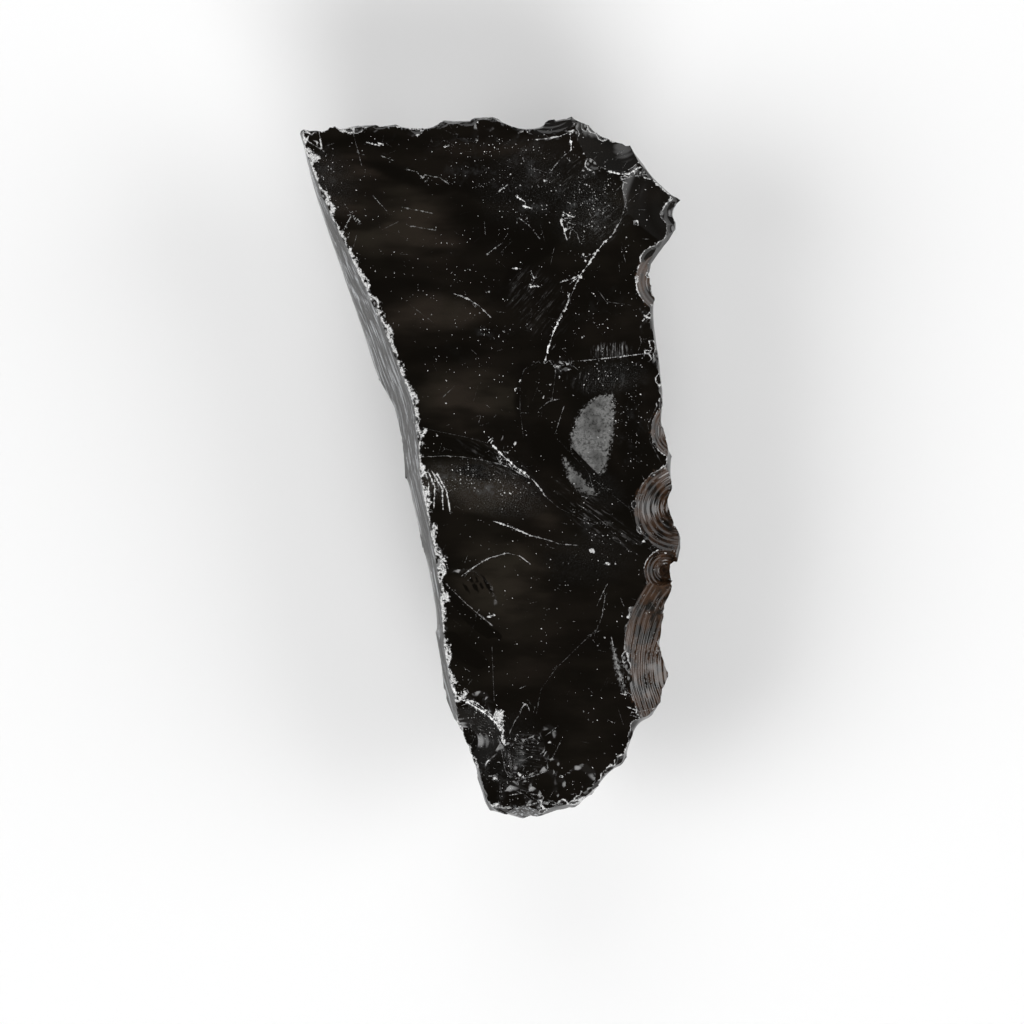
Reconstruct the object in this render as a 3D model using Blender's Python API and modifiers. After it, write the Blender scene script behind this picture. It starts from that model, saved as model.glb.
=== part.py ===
"""Obsidian chunk: one lump of volcanic glass, lying on its back on a flat fracture.

The lump is a blank lofted through its rim, which is the outline seen from above. The broad front
faces, the back faces and the small scars are then struck off it, each by its own turned cutter.
Every cutter is a bowl, because volcanic glass breaks along shallow shells with ripples round the
place where it was struck. Lengths here are in millimetres: +X right, +Y along the lump, +Z up.
"""

import math
import random

import bmesh
import bpy
from mathutils import Vector

MM = 0.001
NODE = "obsidian_chunk"

# The rim, clockwise from the thin corner: x, y and how far the rim lies below the front face.
RIM_TOP = [
    (-36.4, 65.4, 1.5), (-34.4, 66.9, 2.0), (-31.7, 65.9, 1.5), (-28.5, 65.7, 1.2), (-26.4, 65.4, 1.5),
    (-22.4, 66.0, 1.8), (-20.9, 65.6, 1.5), (-17.5, 65.8, 1.2), (-13.9, 65.2, 1.5), (-11.4, 65.4, 1.4),
    (-9.3, 66.6, 2.0), (-7.0, 66.4, 1.8), (-4.6, 66.4, 1.6), (-3.1, 67.4, 2.2), (0.6, 67.3, 2.0),
    (3.4, 66.1, 1.8), (5.3, 65.2, 1.6), (9.7, 65.5, 2.4), (11.2, 66.7, 3.0), (13.7, 66.9, 3.0),
    (15.8, 67.3, 2.6), (17.1, 66.9, 2.6), (19.0, 65.6, 3.0), (19.9, 64.6, 3.0), (24.5, 62.8, 3.4),
    (26.6, 62.0, 3.4),
]
RIM_RIGHT = [
    (27.7, 60.8, 3.2), (29.2, 59.2, 2.8), (30.6, 56.8, 2.2), (34.2, 53.3, 1.8), (36.4, 51.6, 1.6),
    (35.1, 50.0, 1.8), (34.7, 48.9, 2.0), (35.4, 47.2, 2.0), (35.4, 46.0, 2.0), (34.2, 43.9, 2.4),
    (30.6, 39.4, 3.6), (30.2, 37.5, 3.8), (31.4, 33.1, 3.0), (31.8, 26.7, 2.4), (32.5, 21.7, 2.0),
    (33.2, 16.6, 2.0), (33.5, 12.4, 2.4), (32.7, 8.9, 3.0), (33.6, 6.1, 3.0), (34.8, 2.9, 2.8),
    (34.8, -3.4, 3.4), (34.0, -5.8, 3.6), (34.8, -8.6, 3.8), (36.2, -12.3, 3.6), (36.3, -14.8, 3.2),
    (35.1, -19.7, 3.2), (34.9, -22.9, 3.4), (33.6, -25.6, 4.0), (33.4, -29.4, 4.6), (34.6, -32.8, 5.0),
    (35.2, -35.7, 5.2), (34.9, -38.1, 5.2), (33.0, -41.7, 5.0), (32.9, -44.4, 4.8), (31.0, -47.3, 4.0),
    (27.8, -48.6, 2.6),
]
RIM_FOOT = [
    (27.7, -50.5, 2.2), (26.2, -54.5, 2.0), (25.3, -56.0, 2.0), (22.0, -58.9, 2.2), (20.9, -60.8, 2.2),
    (19.2, -62.6, 2.4), (16.7, -64.4, 2.6), (12.7, -65.3, 2.8), (9.9, -66.6, 3.2), (5.0, -67.3, 3.4),
    (2.1, -66.4, 3.0),
]
RIM_LEFT = [
    (-0.2, -65.2, 2.4), (-1.2, -63.8, 2.2), (-2.3, -59.8, 2.4), (-3.6, -55.0, 2.6), (-5.4, -50.3, 3.0),
    (-7.0, -47.6, 3.5), (-8.2, -44.8, 4.0), (-9.5, -39.8, 4.4), (-10.3, -33.8, 4.0), (-10.8, -27.1, 4.2),
    (-11.7, -22.0, 5.0), (-12.7, -15.7, 5.5), (-14.8, -8.4, 7.0), (-16.2, -2.2, 7.6), (-17.5, 6.9, 9.4),
    (-19.4, 12.2, 12.6), (-21.7, 16.4, 13.4), (-23.1, 20.6, 13.0), (-24.9, 26.5, 12.0),
    (-27.2, 33.1, 10.0), (-30.2, 41.9, 7.4), (-32.2, 47.7, 5.6), (-34.3, 54.2, 4.2), (-35.9, 60.9, 2.0),
]
RIM = RIM_TOP + RIM_RIGHT + RIM_FOOT + RIM_LEFT

CROWN_SLOPE = math.radians(68)  # of the wall between the rim and the front face
CROWN_OVER = 1.0  # the wall runs on this far above the front face, to be cut back by it
BLANK_TOP = 42.0
WAIST_DROP, WAIST_IN = 7.0, 2.0  # the ring under the rim
BASE_SCALE, BASE_CENTRE = 0.86, (7.0, 3.0)  # the ring at z = 0, from the rim
NORMAL_REACH = 4  # rim points on each side that settle which way is inward

# Broad faces: name, a point on the face, its outward normal, the bowl's radius and its reach.
FRONT_FACES = [
    ("upper_left", (-5, 30, 37.0), (-0.03, 0.03, 1), 900, 150),
    ("upper_right", (25, 40, 37.3), (0.074, -0.08, 1), 323, 60),
    ("hollow", (25, 3, 35.55), (0.07, 0.02, 1), 140, 38),
    ("lower", (8, -32, 34.8), (-0.089, -0.104, 1), 1500, 150),
    ("top_corner", (33, 53, 35.7), (0.22, 0.06, 1), 70, 24),
]
BACK_FACES = [
    ("back_right_upper", (33.0, 25, 25), (0.90, -0.06, -0.44), 170, 70),
    ("back_right_lower", (34.0, -18, 23), (0.90, -0.02, -0.44), 200, 70),
    ("back_top", (-8, 65, 27), (0.02, 0.72, -0.69), 300, 70),
    ("back_top_right", (28.5, 57, 27), (0.62, 0.46, -0.64), 120, 55),
    ("back_top_left", (-31, 59, 27), (-0.50, 0.42, -0.76), 200, 60),
    ("back_left_upper", (-21, 18, 17), (-0.76, -0.28, -0.58), 220, 75),
    ("back_left_lower", (-12.2, -20, 23), (-0.87, -0.16, -0.47), 260, 75),
    ("back_foot", (6, -64, 23), (0.02, -0.74, -0.67), 150, 60),
    ("back_foot_right", (25, -52, 25), (0.70, -0.42, -0.58), 150, 50),
    ("back_foot_left", (-4, -54, 25), (-0.70, -0.30, -0.65), 150, 50),
]
# Bites out of the back, smaller and deeper than its faces, given in the same way.
BACK_SCARS = [
    ("back_bite_1", (24, 8, 7.5), (0.80, 0.10, -0.60), 30, 14),
    ("back_bite_2", (-6, 44, 8.5), (-0.15, 0.62, -0.77), 42, 20),
    ("back_bite_3", (26, 42, 13.0), (0.80, 0.40, -0.45), 28, 13),
    ("back_bite_4", (24.5, -34, 9.5), (0.86, -0.20, -0.50), 34, 16),
    ("back_bite_5", (-7.5, 2, 9.0), (-0.84, -0.28, -0.46), 36, 17),
    ("back_bite_6", (4, -48, 9.0), (-0.25, -0.72, -0.64), 30, 14),
]

# Scars along the edge, struck from above: name, x and y of the axis, the scar's radius, the radius
# of its level middle, the middle's height, the height it climbs to, and its ripples' depth and pitch.
EDGE_SCARS = [
    ("fan_scar", 52.0, -37.0, 27.0, 14.0, 30.0, 36.6, 0.16, 1.3),
    ("round_scar_1", 36.0, -7.0, 8.7, 1.5, 31.3, 36.0, 0.14, 1.2),
    ("round_scar_2", 33.6, -19.0, 4.4, 1.0, 32.4, 37.4, 0.10, 1.1),
    ("crescent_scar", 36.2, 7.6, 6.2, 2.4, 32.2, 36.4, 0.10, 1.2),
    ("notch_scar", 34.5, 36.0, 7.0, 3.6, 33.0, 37.4, 0.12, 1.1),
    ("corner_scar", 24.5, 65.0, 8.6, 2.0, 33.4, 37.8, 0.0, 1.0),
    ("top_scar", 11.0, 70.0, 7.3, 3.0, 34.2, 38.0, 0.0, 1.0),
    ("heel_scar", -5.0, -52.0, 8.2, 2.6, 28.8, 33.2, 0.0, 1.0),
    ("foot_scar_1", 6.0, -70.2, 6.2, 2.8, 27.6, 31.8, 0.0, 1.0),
    ("foot_scar_2", 14.0, -70.6, 6.8, 4.4, 28.8, 33.0, 0.0, 1.0),
    ("foot_scar_3", 23.2, -64.2, 5.2, 2.0, 31.0, 34.6, 0.0, 1.0),
    ("foot_scar_4", 30.6, -54.2, 5.0, 2.6, 32.0, 36.2, 0.0, 1.0),
]
SCAR_POWER = 1.7  # how sharply a scar turns up at its edge
WIDE_SCAR = 20.0  # a scar with a larger radius than this is turned in FAN_STEPS
RIPPLE_POINTS = 2  # points of the profile in each ripple

# Small chips struck off the front edge by balls: the rim points from one to the next, the balls'
# radius, how deep they bite, and their rise for one outward.
CHIP_STEP, CHIP_RADIUS, CHIP_BITE, CHIP_RISE = 2, (1.8, 3.6), (0.3, 0.8), 0.8
# Flakes struck off the wall under the rim by bowls, which run out just under the rim.
FLAKE_STEP, FLAKE_RADIUS, FLAKE_DROP, FLAKE_REACH = 3, (13.0, 27.0), (5.0, 7.5), 12.0
FLAKE_RIM_BITE, FLAKE_FALL = 0.1, (-0.5, -0.15)
CHIP_SEED, FLAKE_SEED = 11, 5
BALL_SUBDIVISIONS = 2
BALL_ANGLE, BALL_TURN = (0.0, 6.0), (1.0, 0.7, 1.3)  # so that no two balls' facets lie alike

SAG = 0.045  # how far a flat facet of a cutter may stand off its true curve
FACE_STEPS, FLAKE_STEPS, SCAR_STEPS, FAN_STEPS = 28, 16, 24, 66
LEAST_BANDS = 3  # of facets, from the middle of a bowl to its edge
BOWL_LID = 40.0  # thickness of a bowl cutter behind its face
CUTTER_MERGE = 0.01  # joins the turned profile's points on the axis

GLASS_COLOUR = (0.010, 0.009, 0.008, 1.0)
GLASS_ROUGHNESS, GLASS_IOR = 0.06, 1.5


def bowl_height(radius, across):
    return radius - math.sqrt(radius * radius - across * across)


def face_height(face, x, y):
    """Height of a broad face above the point x, y."""
    _, point, normal, radius, _ = face
    centre = Vector(point) + radius * Vector(normal).normalized()
    away = (x - centre.x) ** 2 + (y - centre.y) ** 2
    return centre.z - math.sqrt(max(radius * radius - away, 0.0))


def front_height(x, y):
    return min(face_height(face, x, y) for face in FRONT_FACES)


def inward_at(index):
    """Unit vector from a rim point into the lump, from the run of the rim on both sides of it."""
    before = RIM[index - NORMAL_REACH]
    after = RIM[(index + NORMAL_REACH) % len(RIM)]
    run = Vector((after[0] - before[0], after[1] - before[1]))
    return Vector((run.y, -run.x)).normalized()


def rim_height(index):
    x, y, drop = RIM[index]
    return front_height(x, y) - drop


def base_point(index):
    x, y, _ = RIM[index]
    middle_x, middle_y = BASE_CENTRE
    return middle_x + (x - middle_x) * BASE_SCALE, middle_y + (y - middle_y) * BASE_SCALE, 0.0


def rim_point(index, inward, height):
    x, y, _ = RIM[index]
    place = Vector((x, y)) + inward * inward_at(index)
    return place.x, place.y, height


def blank_rings():
    """The blank's rings from the base up, each with one point for each point of the rim."""
    count = range(len(RIM))
    crown_in = [(RIM[i][2] + CROWN_OVER) / math.tan(CROWN_SLOPE) for i in count]
    crown_z = [rim_height(i) + RIM[i][2] + CROWN_OVER for i in count]
    return [
        [base_point(i) for i in count],
        [rim_point(i, WAIST_IN, rim_height(i) - WAIST_DROP) for i in count],
        [rim_point(i, 0.0, rim_height(i)) for i in count],
        [rim_point(i, crown_in[i], crown_z[i]) for i in count],
        [rim_point(i, crown_in[i], BLANK_TOP) for i in count],
    ]


def make_blank(collection):
    mesh = bpy.data.meshes.new(NODE)
    bm = bmesh.new()
    rings = [[bm.verts.new(Vector(p) * MM) for p in ring] for ring in blank_rings()]
    for low, high in zip(rings, rings[1:]):
        for i in range(len(RIM)):
            bm.faces.new((low[i - 1], low[i], high[i], high[i - 1]))
    bm.faces.new(rings[0])
    bm.faces.new(rings[-1])
    bmesh.ops.triangulate(bm, faces=bm.faces[:])
    bmesh.ops.recalc_face_normals(bm, faces=bm.faces[:])
    bm.to_mesh(mesh)
    bm.free()
    blank = bpy.data.objects.new(NODE, mesh)
    collection.objects.link(blank)
    return blank


def turned_cutter(name, profile, steps, collection):
    """A solid turned round Z. The profile runs from the axis out along the cutting face."""
    reach, lid = profile[-1][0], max(height for _, height in profile) + BOWL_LID
    points = [(0.0, lid), (reach, lid)] + profile[::-1]
    mesh = bpy.data.meshes.new(name)
    edges = [(i, i + 1) for i in range(len(points) - 1)]
    mesh.from_pydata([(across * MM, 0.0, height * MM) for across, height in points], edges, [])
    cutter = bpy.data.objects.new(name, mesh)
    collection.objects.link(cutter)
    screw = cutter.modifiers.new("turn", "SCREW")
    screw.steps = steps
    screw.render_steps = steps
    screw.use_merge_vertices = True
    screw.merge_threshold = CUTTER_MERGE * MM
    cutter.hide_render = True
    cutter.display_type = "WIRE"
    return cutter


def strike_off(blank, cutter):
    cut = blank.modifiers.new(cutter.name, "BOOLEAN")
    cut.operation = "DIFFERENCE"
    cut.solver = "EXACT"
    cut.object = cutter


def bowl_profile(radius, reach):
    band = math.sqrt(8 * radius * SAG)  # the chord that stands SAG off the circle
    count = max(LEAST_BANDS, math.ceil(reach / band))
    return [(reach * k / count, bowl_height(radius, reach * k / count)) for k in range(count + 1)]


def add_face(blank, face, steps, collection):
    name, point, normal, radius, reach = face
    cutter = turned_cutter(name, bowl_profile(radius, reach), steps, collection)
    cutter.location = Vector(point) * MM
    cutter.rotation_euler = Vector(normal).to_track_quat("Z", "Y").to_euler()
    strike_off(blank, cutter)


def edge_scar_profile(radius, level, low, high, depth, pitch):
    """Level in the middle, then up to the scar's edge, with ripples all the way."""
    count = math.ceil(RIPPLE_POINTS * (radius - level) / pitch)
    profile = [(0.0, low)]
    for k in range(count + 1):
        across = level + (radius - level) * k / count
        climb = ((across - level) / (radius - level)) ** SCAR_POWER
        ripple = depth * math.cos(2 * math.pi * (radius - across) / pitch)
        profile.append((across, low + (high - low) * climb + ripple))
    return profile


def add_edge_scar(blank, scar, collection):
    name, x, y, radius, *shape = scar
    steps = FAN_STEPS if radius > WIDE_SCAR else SCAR_STEPS
    cutter = turned_cutter(name, edge_scar_profile(radius, *shape), steps, collection)
    cutter.location = Vector((x, y, 0)) * MM
    strike_off(blank, cutter)


def add_chip(blank, name, place, direction, radius, bite, angle, collection):
    """A ball that takes a shallow shell off the edge that passes through the place."""
    mesh = bpy.data.meshes.new(name)
    bm = bmesh.new()
    bmesh.ops.create_icosphere(bm, subdivisions=BALL_SUBDIVISIONS, radius=radius * MM)
    bm.to_mesh(mesh)
    bm.free()
    cutter = bpy.data.objects.new(name, mesh)
    collection.objects.link(cutter)
    cutter.location = (place + direction * (radius - bite)) * MM
    cutter.rotation_euler = Vector(BALL_TURN) * angle
    cutter.hide_render = True
    cutter.display_type = "WIRE"
    strike_off(blank, cutter)


def outward_at(index, rise):
    inward = inward_at(index)
    return Vector((-inward.x, -inward.y, rise)).normalized()


def add_chips(blank, collection):
    rng = random.Random(CHIP_SEED)
    for index in range(0, len(RIM) - len(RIM_LEFT), CHIP_STEP):
        radius, bite = rng.uniform(*CHIP_RADIUS), rng.uniform(*CHIP_BITE)
        angle = rng.uniform(*BALL_ANGLE)
        drop = RIM[index][2]
        place = Vector(rim_point(index, drop / math.tan(CROWN_SLOPE), rim_height(index) + drop))
        direction = outward_at(index, CHIP_RISE)
        add_chip(blank, f"chip_{index}", place, direction, radius, bite, angle, collection)


def add_flakes(blank, collection):
    rng = random.Random(FLAKE_SEED)
    for index in range(0, len(RIM), FLAKE_STEP):
        radius, drop = rng.uniform(*FLAKE_RADIUS), rng.uniform(*FLAKE_DROP)
        fall = rng.uniform(*FLAKE_FALL)
        bite = drop * drop / (2 * radius) + FLAKE_RIM_BITE
        point = rim_point(index, WAIST_IN * drop / WAIST_DROP + bite, rim_height(index) - drop)
        flake = (f"flake_{index}", point, outward_at(index, fall), radius, FLAKE_REACH)
        add_face(blank, flake, FLAKE_STEPS, collection)


def glass():
    material = bpy.data.materials.new("obsidian")
    material.use_nodes = True
    shader = material.node_tree.nodes["Principled BSDF"]
    shader.inputs["Base Color"].default_value = GLASS_COLOUR
    shader.inputs["Roughness"].default_value = GLASS_ROUGHNESS
    shader.inputs["Metallic"].default_value = 0.0
    shader.inputs["IOR"].default_value = GLASS_IOR
    return material


def main():
    for obj in list(bpy.data.objects):
        bpy.data.objects.remove(obj, do_unlink=True)
    parts = bpy.data.collections.new("obsidian chunk")
    cutters = bpy.data.collections.new("cutters")
    bpy.context.scene.collection.children.link(parts)
    bpy.context.scene.collection.children.link(cutters)
    blank = make_blank(parts)
    blank.data.materials.append(glass())
    for face in FRONT_FACES + BACK_FACES + BACK_SCARS:
        add_face(blank, face, FACE_STEPS, cutters)
    for scar in EDGE_SCARS:
        add_edge_scar(blank, scar, cutters)
    add_flakes(blank, cutters)
    add_chips(blank, cutters)


main()
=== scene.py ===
"""Obsidian chunk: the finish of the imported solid.

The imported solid's broad forms are kept. Its mesh is copied, remeshed finely and laid on the true
curves of the bowls that struck it, so that the glass is smooth between its edges. Small chips are
then struck off along the edges, and the scars get their fine ripples. What the shader needs to
know about a place, such as how near an edge is, is kept in the mesh's attributes.

The shapes are worked out in millimetres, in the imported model's frame: +X right, +Y along the
lump, +Z up. The marks on the front are given in pixels of the photograph, as at() explains.
"""

import math
import random

import bmesh
import bpy
import numpy as np
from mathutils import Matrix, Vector
from mathutils.bvhtree import BVHTree
from mathutils.kdtree import KDTree


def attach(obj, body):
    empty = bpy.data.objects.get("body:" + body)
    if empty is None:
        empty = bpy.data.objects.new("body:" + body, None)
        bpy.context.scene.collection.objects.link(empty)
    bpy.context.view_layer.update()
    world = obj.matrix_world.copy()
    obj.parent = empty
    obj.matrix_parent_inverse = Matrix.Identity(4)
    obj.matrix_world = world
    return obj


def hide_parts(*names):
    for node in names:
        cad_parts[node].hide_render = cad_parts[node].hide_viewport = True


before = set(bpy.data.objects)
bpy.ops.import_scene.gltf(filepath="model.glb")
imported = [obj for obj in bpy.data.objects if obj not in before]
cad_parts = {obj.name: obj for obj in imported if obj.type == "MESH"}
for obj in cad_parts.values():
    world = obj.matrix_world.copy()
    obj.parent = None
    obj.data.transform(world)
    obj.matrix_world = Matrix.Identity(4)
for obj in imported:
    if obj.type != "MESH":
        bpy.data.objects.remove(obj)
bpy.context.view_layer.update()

NODE = "obsidian_chunk"
MM = 0.001

# ---------------------------------------------------------------------------- the solid's shape
# These repeat the solid's own driving dimensions, in millimetres.
RIM_TOP = [
    (-36.4, 65.4, 1.5), (-34.4, 66.9, 2.0), (-31.7, 65.9, 1.5), (-28.5, 65.7, 1.2), (-26.4, 65.4, 1.5),
    (-22.4, 66.0, 1.8), (-20.9, 65.6, 1.5), (-17.5, 65.8, 1.2), (-13.9, 65.2, 1.5), (-11.4, 65.4, 1.4),
    (-9.3, 66.6, 2.0), (-7.0, 66.4, 1.8), (-4.6, 66.4, 1.6), (-3.1, 67.4, 2.2), (0.6, 67.3, 2.0),
    (3.4, 66.1, 1.8), (5.3, 65.2, 1.6), (9.7, 65.5, 2.4), (11.2, 66.7, 3.0), (13.7, 66.9, 3.0),
    (15.8, 67.3, 2.6), (17.1, 66.9, 2.6), (19.0, 65.6, 3.0), (19.9, 64.6, 3.0), (24.5, 62.8, 3.4),
    (26.6, 62.0, 3.4),
]
RIM_RIGHT = [
    (27.7, 60.8, 3.2), (29.2, 59.2, 2.8), (30.6, 56.8, 2.2), (34.2, 53.3, 1.8), (36.4, 51.6, 1.6),
    (35.1, 50.0, 1.8), (34.7, 48.9, 2.0), (35.4, 47.2, 2.0), (35.4, 46.0, 2.0), (34.2, 43.9, 2.4),
    (30.6, 39.4, 3.6), (30.2, 37.5, 3.8), (31.4, 33.1, 3.0), (31.8, 26.7, 2.4), (32.5, 21.7, 2.0),
    (33.2, 16.6, 2.0), (33.5, 12.4, 2.4), (32.7, 8.9, 3.0), (33.6, 6.1, 3.0), (34.8, 2.9, 2.8),
    (34.8, -3.4, 3.4), (34.0, -5.8, 3.6), (34.8, -8.6, 3.8), (36.2, -12.3, 3.6), (36.3, -14.8, 3.2),
    (35.1, -19.7, 3.2), (34.9, -22.9, 3.4), (33.6, -25.6, 4.0), (33.4, -29.4, 4.6), (34.6, -32.8, 5.0),
    (35.2, -35.7, 5.2), (34.9, -38.1, 5.2), (33.0, -41.7, 5.0), (32.9, -44.4, 4.8), (31.0, -47.3, 4.0),
    (27.8, -48.6, 2.6),
]
RIM_FOOT = [
    (27.7, -50.5, 2.2), (26.2, -54.5, 2.0), (25.3, -56.0, 2.0), (22.0, -58.9, 2.2), (20.9, -60.8, 2.2),
    (19.2, -62.6, 2.4), (16.7, -64.4, 2.6), (12.7, -65.3, 2.8), (9.9, -66.6, 3.2), (5.0, -67.3, 3.4),
    (2.1, -66.4, 3.0),
]
RIM_LEFT = [
    (-0.2, -65.2, 2.4), (-1.2, -63.8, 2.2), (-2.3, -59.8, 2.4), (-3.6, -55.0, 2.6), (-5.4, -50.3, 3.0),
    (-7.0, -47.6, 3.5), (-8.2, -44.8, 4.0), (-9.5, -39.8, 4.4), (-10.3, -33.8, 4.0), (-10.8, -27.1, 4.2),
    (-11.7, -22.0, 5.0), (-12.7, -15.7, 5.5), (-14.8, -8.4, 7.0), (-16.2, -2.2, 7.6), (-17.5, 6.9, 9.4),
    (-19.4, 12.2, 12.6), (-21.7, 16.4, 13.4), (-23.1, 20.6, 13.0), (-24.9, 26.5, 12.0),
    (-27.2, 33.1, 10.0), (-30.2, 41.9, 7.4), (-32.2, 47.7, 5.6), (-34.3, 54.2, 4.2), (-35.9, 60.9, 2.0),
]
RIM = RIM_TOP + RIM_RIGHT + RIM_FOOT + RIM_LEFT
CROWN_SLOPE = math.radians(68)
WAIST_DROP, WAIST_IN = 7.0, 2.0
NORMAL_REACH = 4

# Name, a point on the face, its outward normal, the bowl's radius and its reach.
FRONT_FACES = [
    ("upper_left", (-5, 30, 37.0), (-0.03, 0.03, 1), 900, 150),
    ("upper_right", (25, 40, 37.3), (0.074, -0.08, 1), 323, 60),
    ("hollow", (25, 3, 35.55), (0.07, 0.02, 1), 140, 38),
    ("lower", (8, -32, 34.8), (-0.089, -0.104, 1), 1500, 150),
    ("top_corner", (33, 53, 35.7), (0.22, 0.06, 1), 70, 24),
]
BACK_FACES = [
    ("back_right_upper", (33.0, 25, 25), (0.90, -0.06, -0.44), 170, 70),
    ("back_right_lower", (34.0, -18, 23), (0.90, -0.02, -0.44), 200, 70),
    ("back_top", (-8, 65, 27), (0.02, 0.72, -0.69), 300, 70),
    ("back_top_right", (28.5, 57, 27), (0.62, 0.46, -0.64), 120, 55),
    ("back_top_left", (-31, 59, 27), (-0.50, 0.42, -0.76), 200, 60),
    ("back_left_upper", (-21, 18, 17), (-0.76, -0.28, -0.58), 220, 75),
    ("back_left_lower", (-12.2, -20, 23), (-0.87, -0.16, -0.47), 260, 75),
    ("back_foot", (6, -64, 23), (0.02, -0.74, -0.67), 150, 60),
    ("back_foot_right", (25, -52, 25), (0.70, -0.42, -0.58), 150, 50),
    ("back_foot_left", (-4, -54, 25), (-0.70, -0.30, -0.65), 150, 50),
]
BACK_SCARS = [
    ("back_bite_1", (24, 8, 7.5), (0.80, 0.10, -0.60), 30, 14),
    ("back_bite_2", (-6, 44, 8.5), (-0.15, 0.62, -0.77), 42, 20),
    ("back_bite_3", (26, 42, 13.0), (0.80, 0.40, -0.45), 28, 13),
    ("back_bite_4", (24.5, -34, 9.5), (0.86, -0.20, -0.50), 34, 16),
    ("back_bite_5", (-7.5, 2, 9.0), (-0.84, -0.28, -0.46), 36, 17),
    ("back_bite_6", (4, -48, 9.0), (-0.25, -0.72, -0.64), 30, 14),
]
# Name, x and y of the axis, the radius, the level middle's radius and height, the height that the
# scar climbs to, and its ripples' depth and pitch. The ripples here are finer than the solid's.
EDGE_SCARS = [
    ("fan_scar", 52.0, -37.0, 27.0, 14.0, 30.0, 36.6, 0.085, 0.92),
    ("round_scar_1", 36.0, -7.0, 8.7, 1.5, 31.3, 36.0, 0.105, 1.00),
    ("round_scar_2", 33.6, -19.0, 4.4, 1.0, 32.4, 37.4, 0.040, 0.85),
    ("crescent_scar", 36.2, 7.6, 6.2, 2.4, 32.2, 36.4, 0.050, 0.75),
    ("notch_scar", 34.5, 36.0, 7.0, 3.6, 33.0, 37.4, 0.060, 0.80),
    ("corner_scar", 24.5, 65.0, 8.6, 2.0, 33.4, 37.8, 0.008, 1.1),
    ("top_scar", 11.0, 70.0, 7.3, 3.0, 34.2, 38.0, 0.010, 1.0),
    ("heel_scar", -5.0, -52.0, 8.2, 2.6, 28.8, 33.2, 0.010, 1.0),
    ("foot_scar_1", 6.0, -70.2, 6.2, 2.8, 27.6, 31.8, 0.025, 0.9),
    ("foot_scar_2", 14.0, -70.6, 6.8, 4.4, 28.8, 33.0, 0.025, 0.9),
    ("foot_scar_3", 23.2, -64.2, 5.2, 2.0, 31.0, 34.6, 0.025, 0.9),
    ("foot_scar_4", 30.6, -54.2, 5.0, 2.6, 32.0, 36.2, 0.025, 0.9),
]
SCAR_POWER = 1.7
# The scars of the right edge climb steeply to their rim, and the others no steeper than this.
RIGHT_SCARS = ["fan_scar", "round_scar_1", "round_scar_2", "crescent_scar", "notch_scar"]
GENTLE_SLOPE = 0.92
CHIP_STEP, CHIP_RADIUS, CHIP_BITE, CHIP_RISE = 2, (1.8, 3.6), (0.3, 0.8), 0.8
BALL_ANGLE = (0.0, 6.0)
FLAKE_STEP, FLAKE_RADIUS, FLAKE_DROP, FLAKE_REACH = 3, (13.0, 27.0), (5.0, 7.5), 12.0
FLAKE_RIM_BITE, FLAKE_FALL = 0.1, (-0.5, -0.15)
CHIP_SEED, FLAKE_SEED = 11, 5

# ------------------------------------------------------------------------------- the fine mesh
VOXEL = 0.69  # of the first remesh
NEAR = 3.0  # a cut is worked out for points this near its surface
FAR = -9.0  # stands for the depth in a cut that isn't near
BLANK_TOLERANCE = 0.16  # a facet of the solid further than this from every cut is uncut blank
PANE_RISE, PANE_DEPTH = 0.5, 0.8  # unless it faces up and is less deep than this: a pane of a scar
PROJECT_STEPS = 4
SNAP_STEPS = 3
SNAP = 0.62  # of the mesh's edge: points this near a second cut are moved onto the edge between them
RELAX_STEPS, RELAX_SHARE = 3, 0.5
WALL_SMOOTH_STEPS = 30


def at(px, py):
    """The photograph's pixel px, py as x and y in millimetres: the lump is seen from straight above."""
    return (px - ORIGIN_PX) * PIXEL_MM, (ORIGIN_PY - py) * PIXEL_MM


PIXEL_MM, ORIGIN_PX, ORIGIN_PY = 0.19, 490.1, 470.3
LATTICE = 16  # how many lumps of noise there are along each side before they repeat
TINY = 1e-9  # keeps a division from being by 0


def unit(vector):
    vector = np.asarray(vector, float)
    return vector / np.linalg.norm(vector, axis=-1, keepdims=True)


def smooth_noise(points, size, seed):
    """Smooth noise from about -1 to 1, whose lumps are about this many millimetres across."""
    lattice = np.random.default_rng(seed).uniform(-1.0, 1.0, (LATTICE, LATTICE, LATTICE))
    place = np.asarray(points) / size
    cell = np.floor(place).astype(int)
    part = place - cell
    part = part * part * (3.0 - 2.0 * part)
    total = np.zeros(len(place))
    for corner in np.ndindex(2, 2, 2):
        weight = np.prod(np.where(np.array(corner) == 1, part, 1.0 - part), axis=1)
        x, y, z = ((cell + corner) % LATTICE).T
        total += weight * lattice[x, y, z]
    return total


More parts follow.
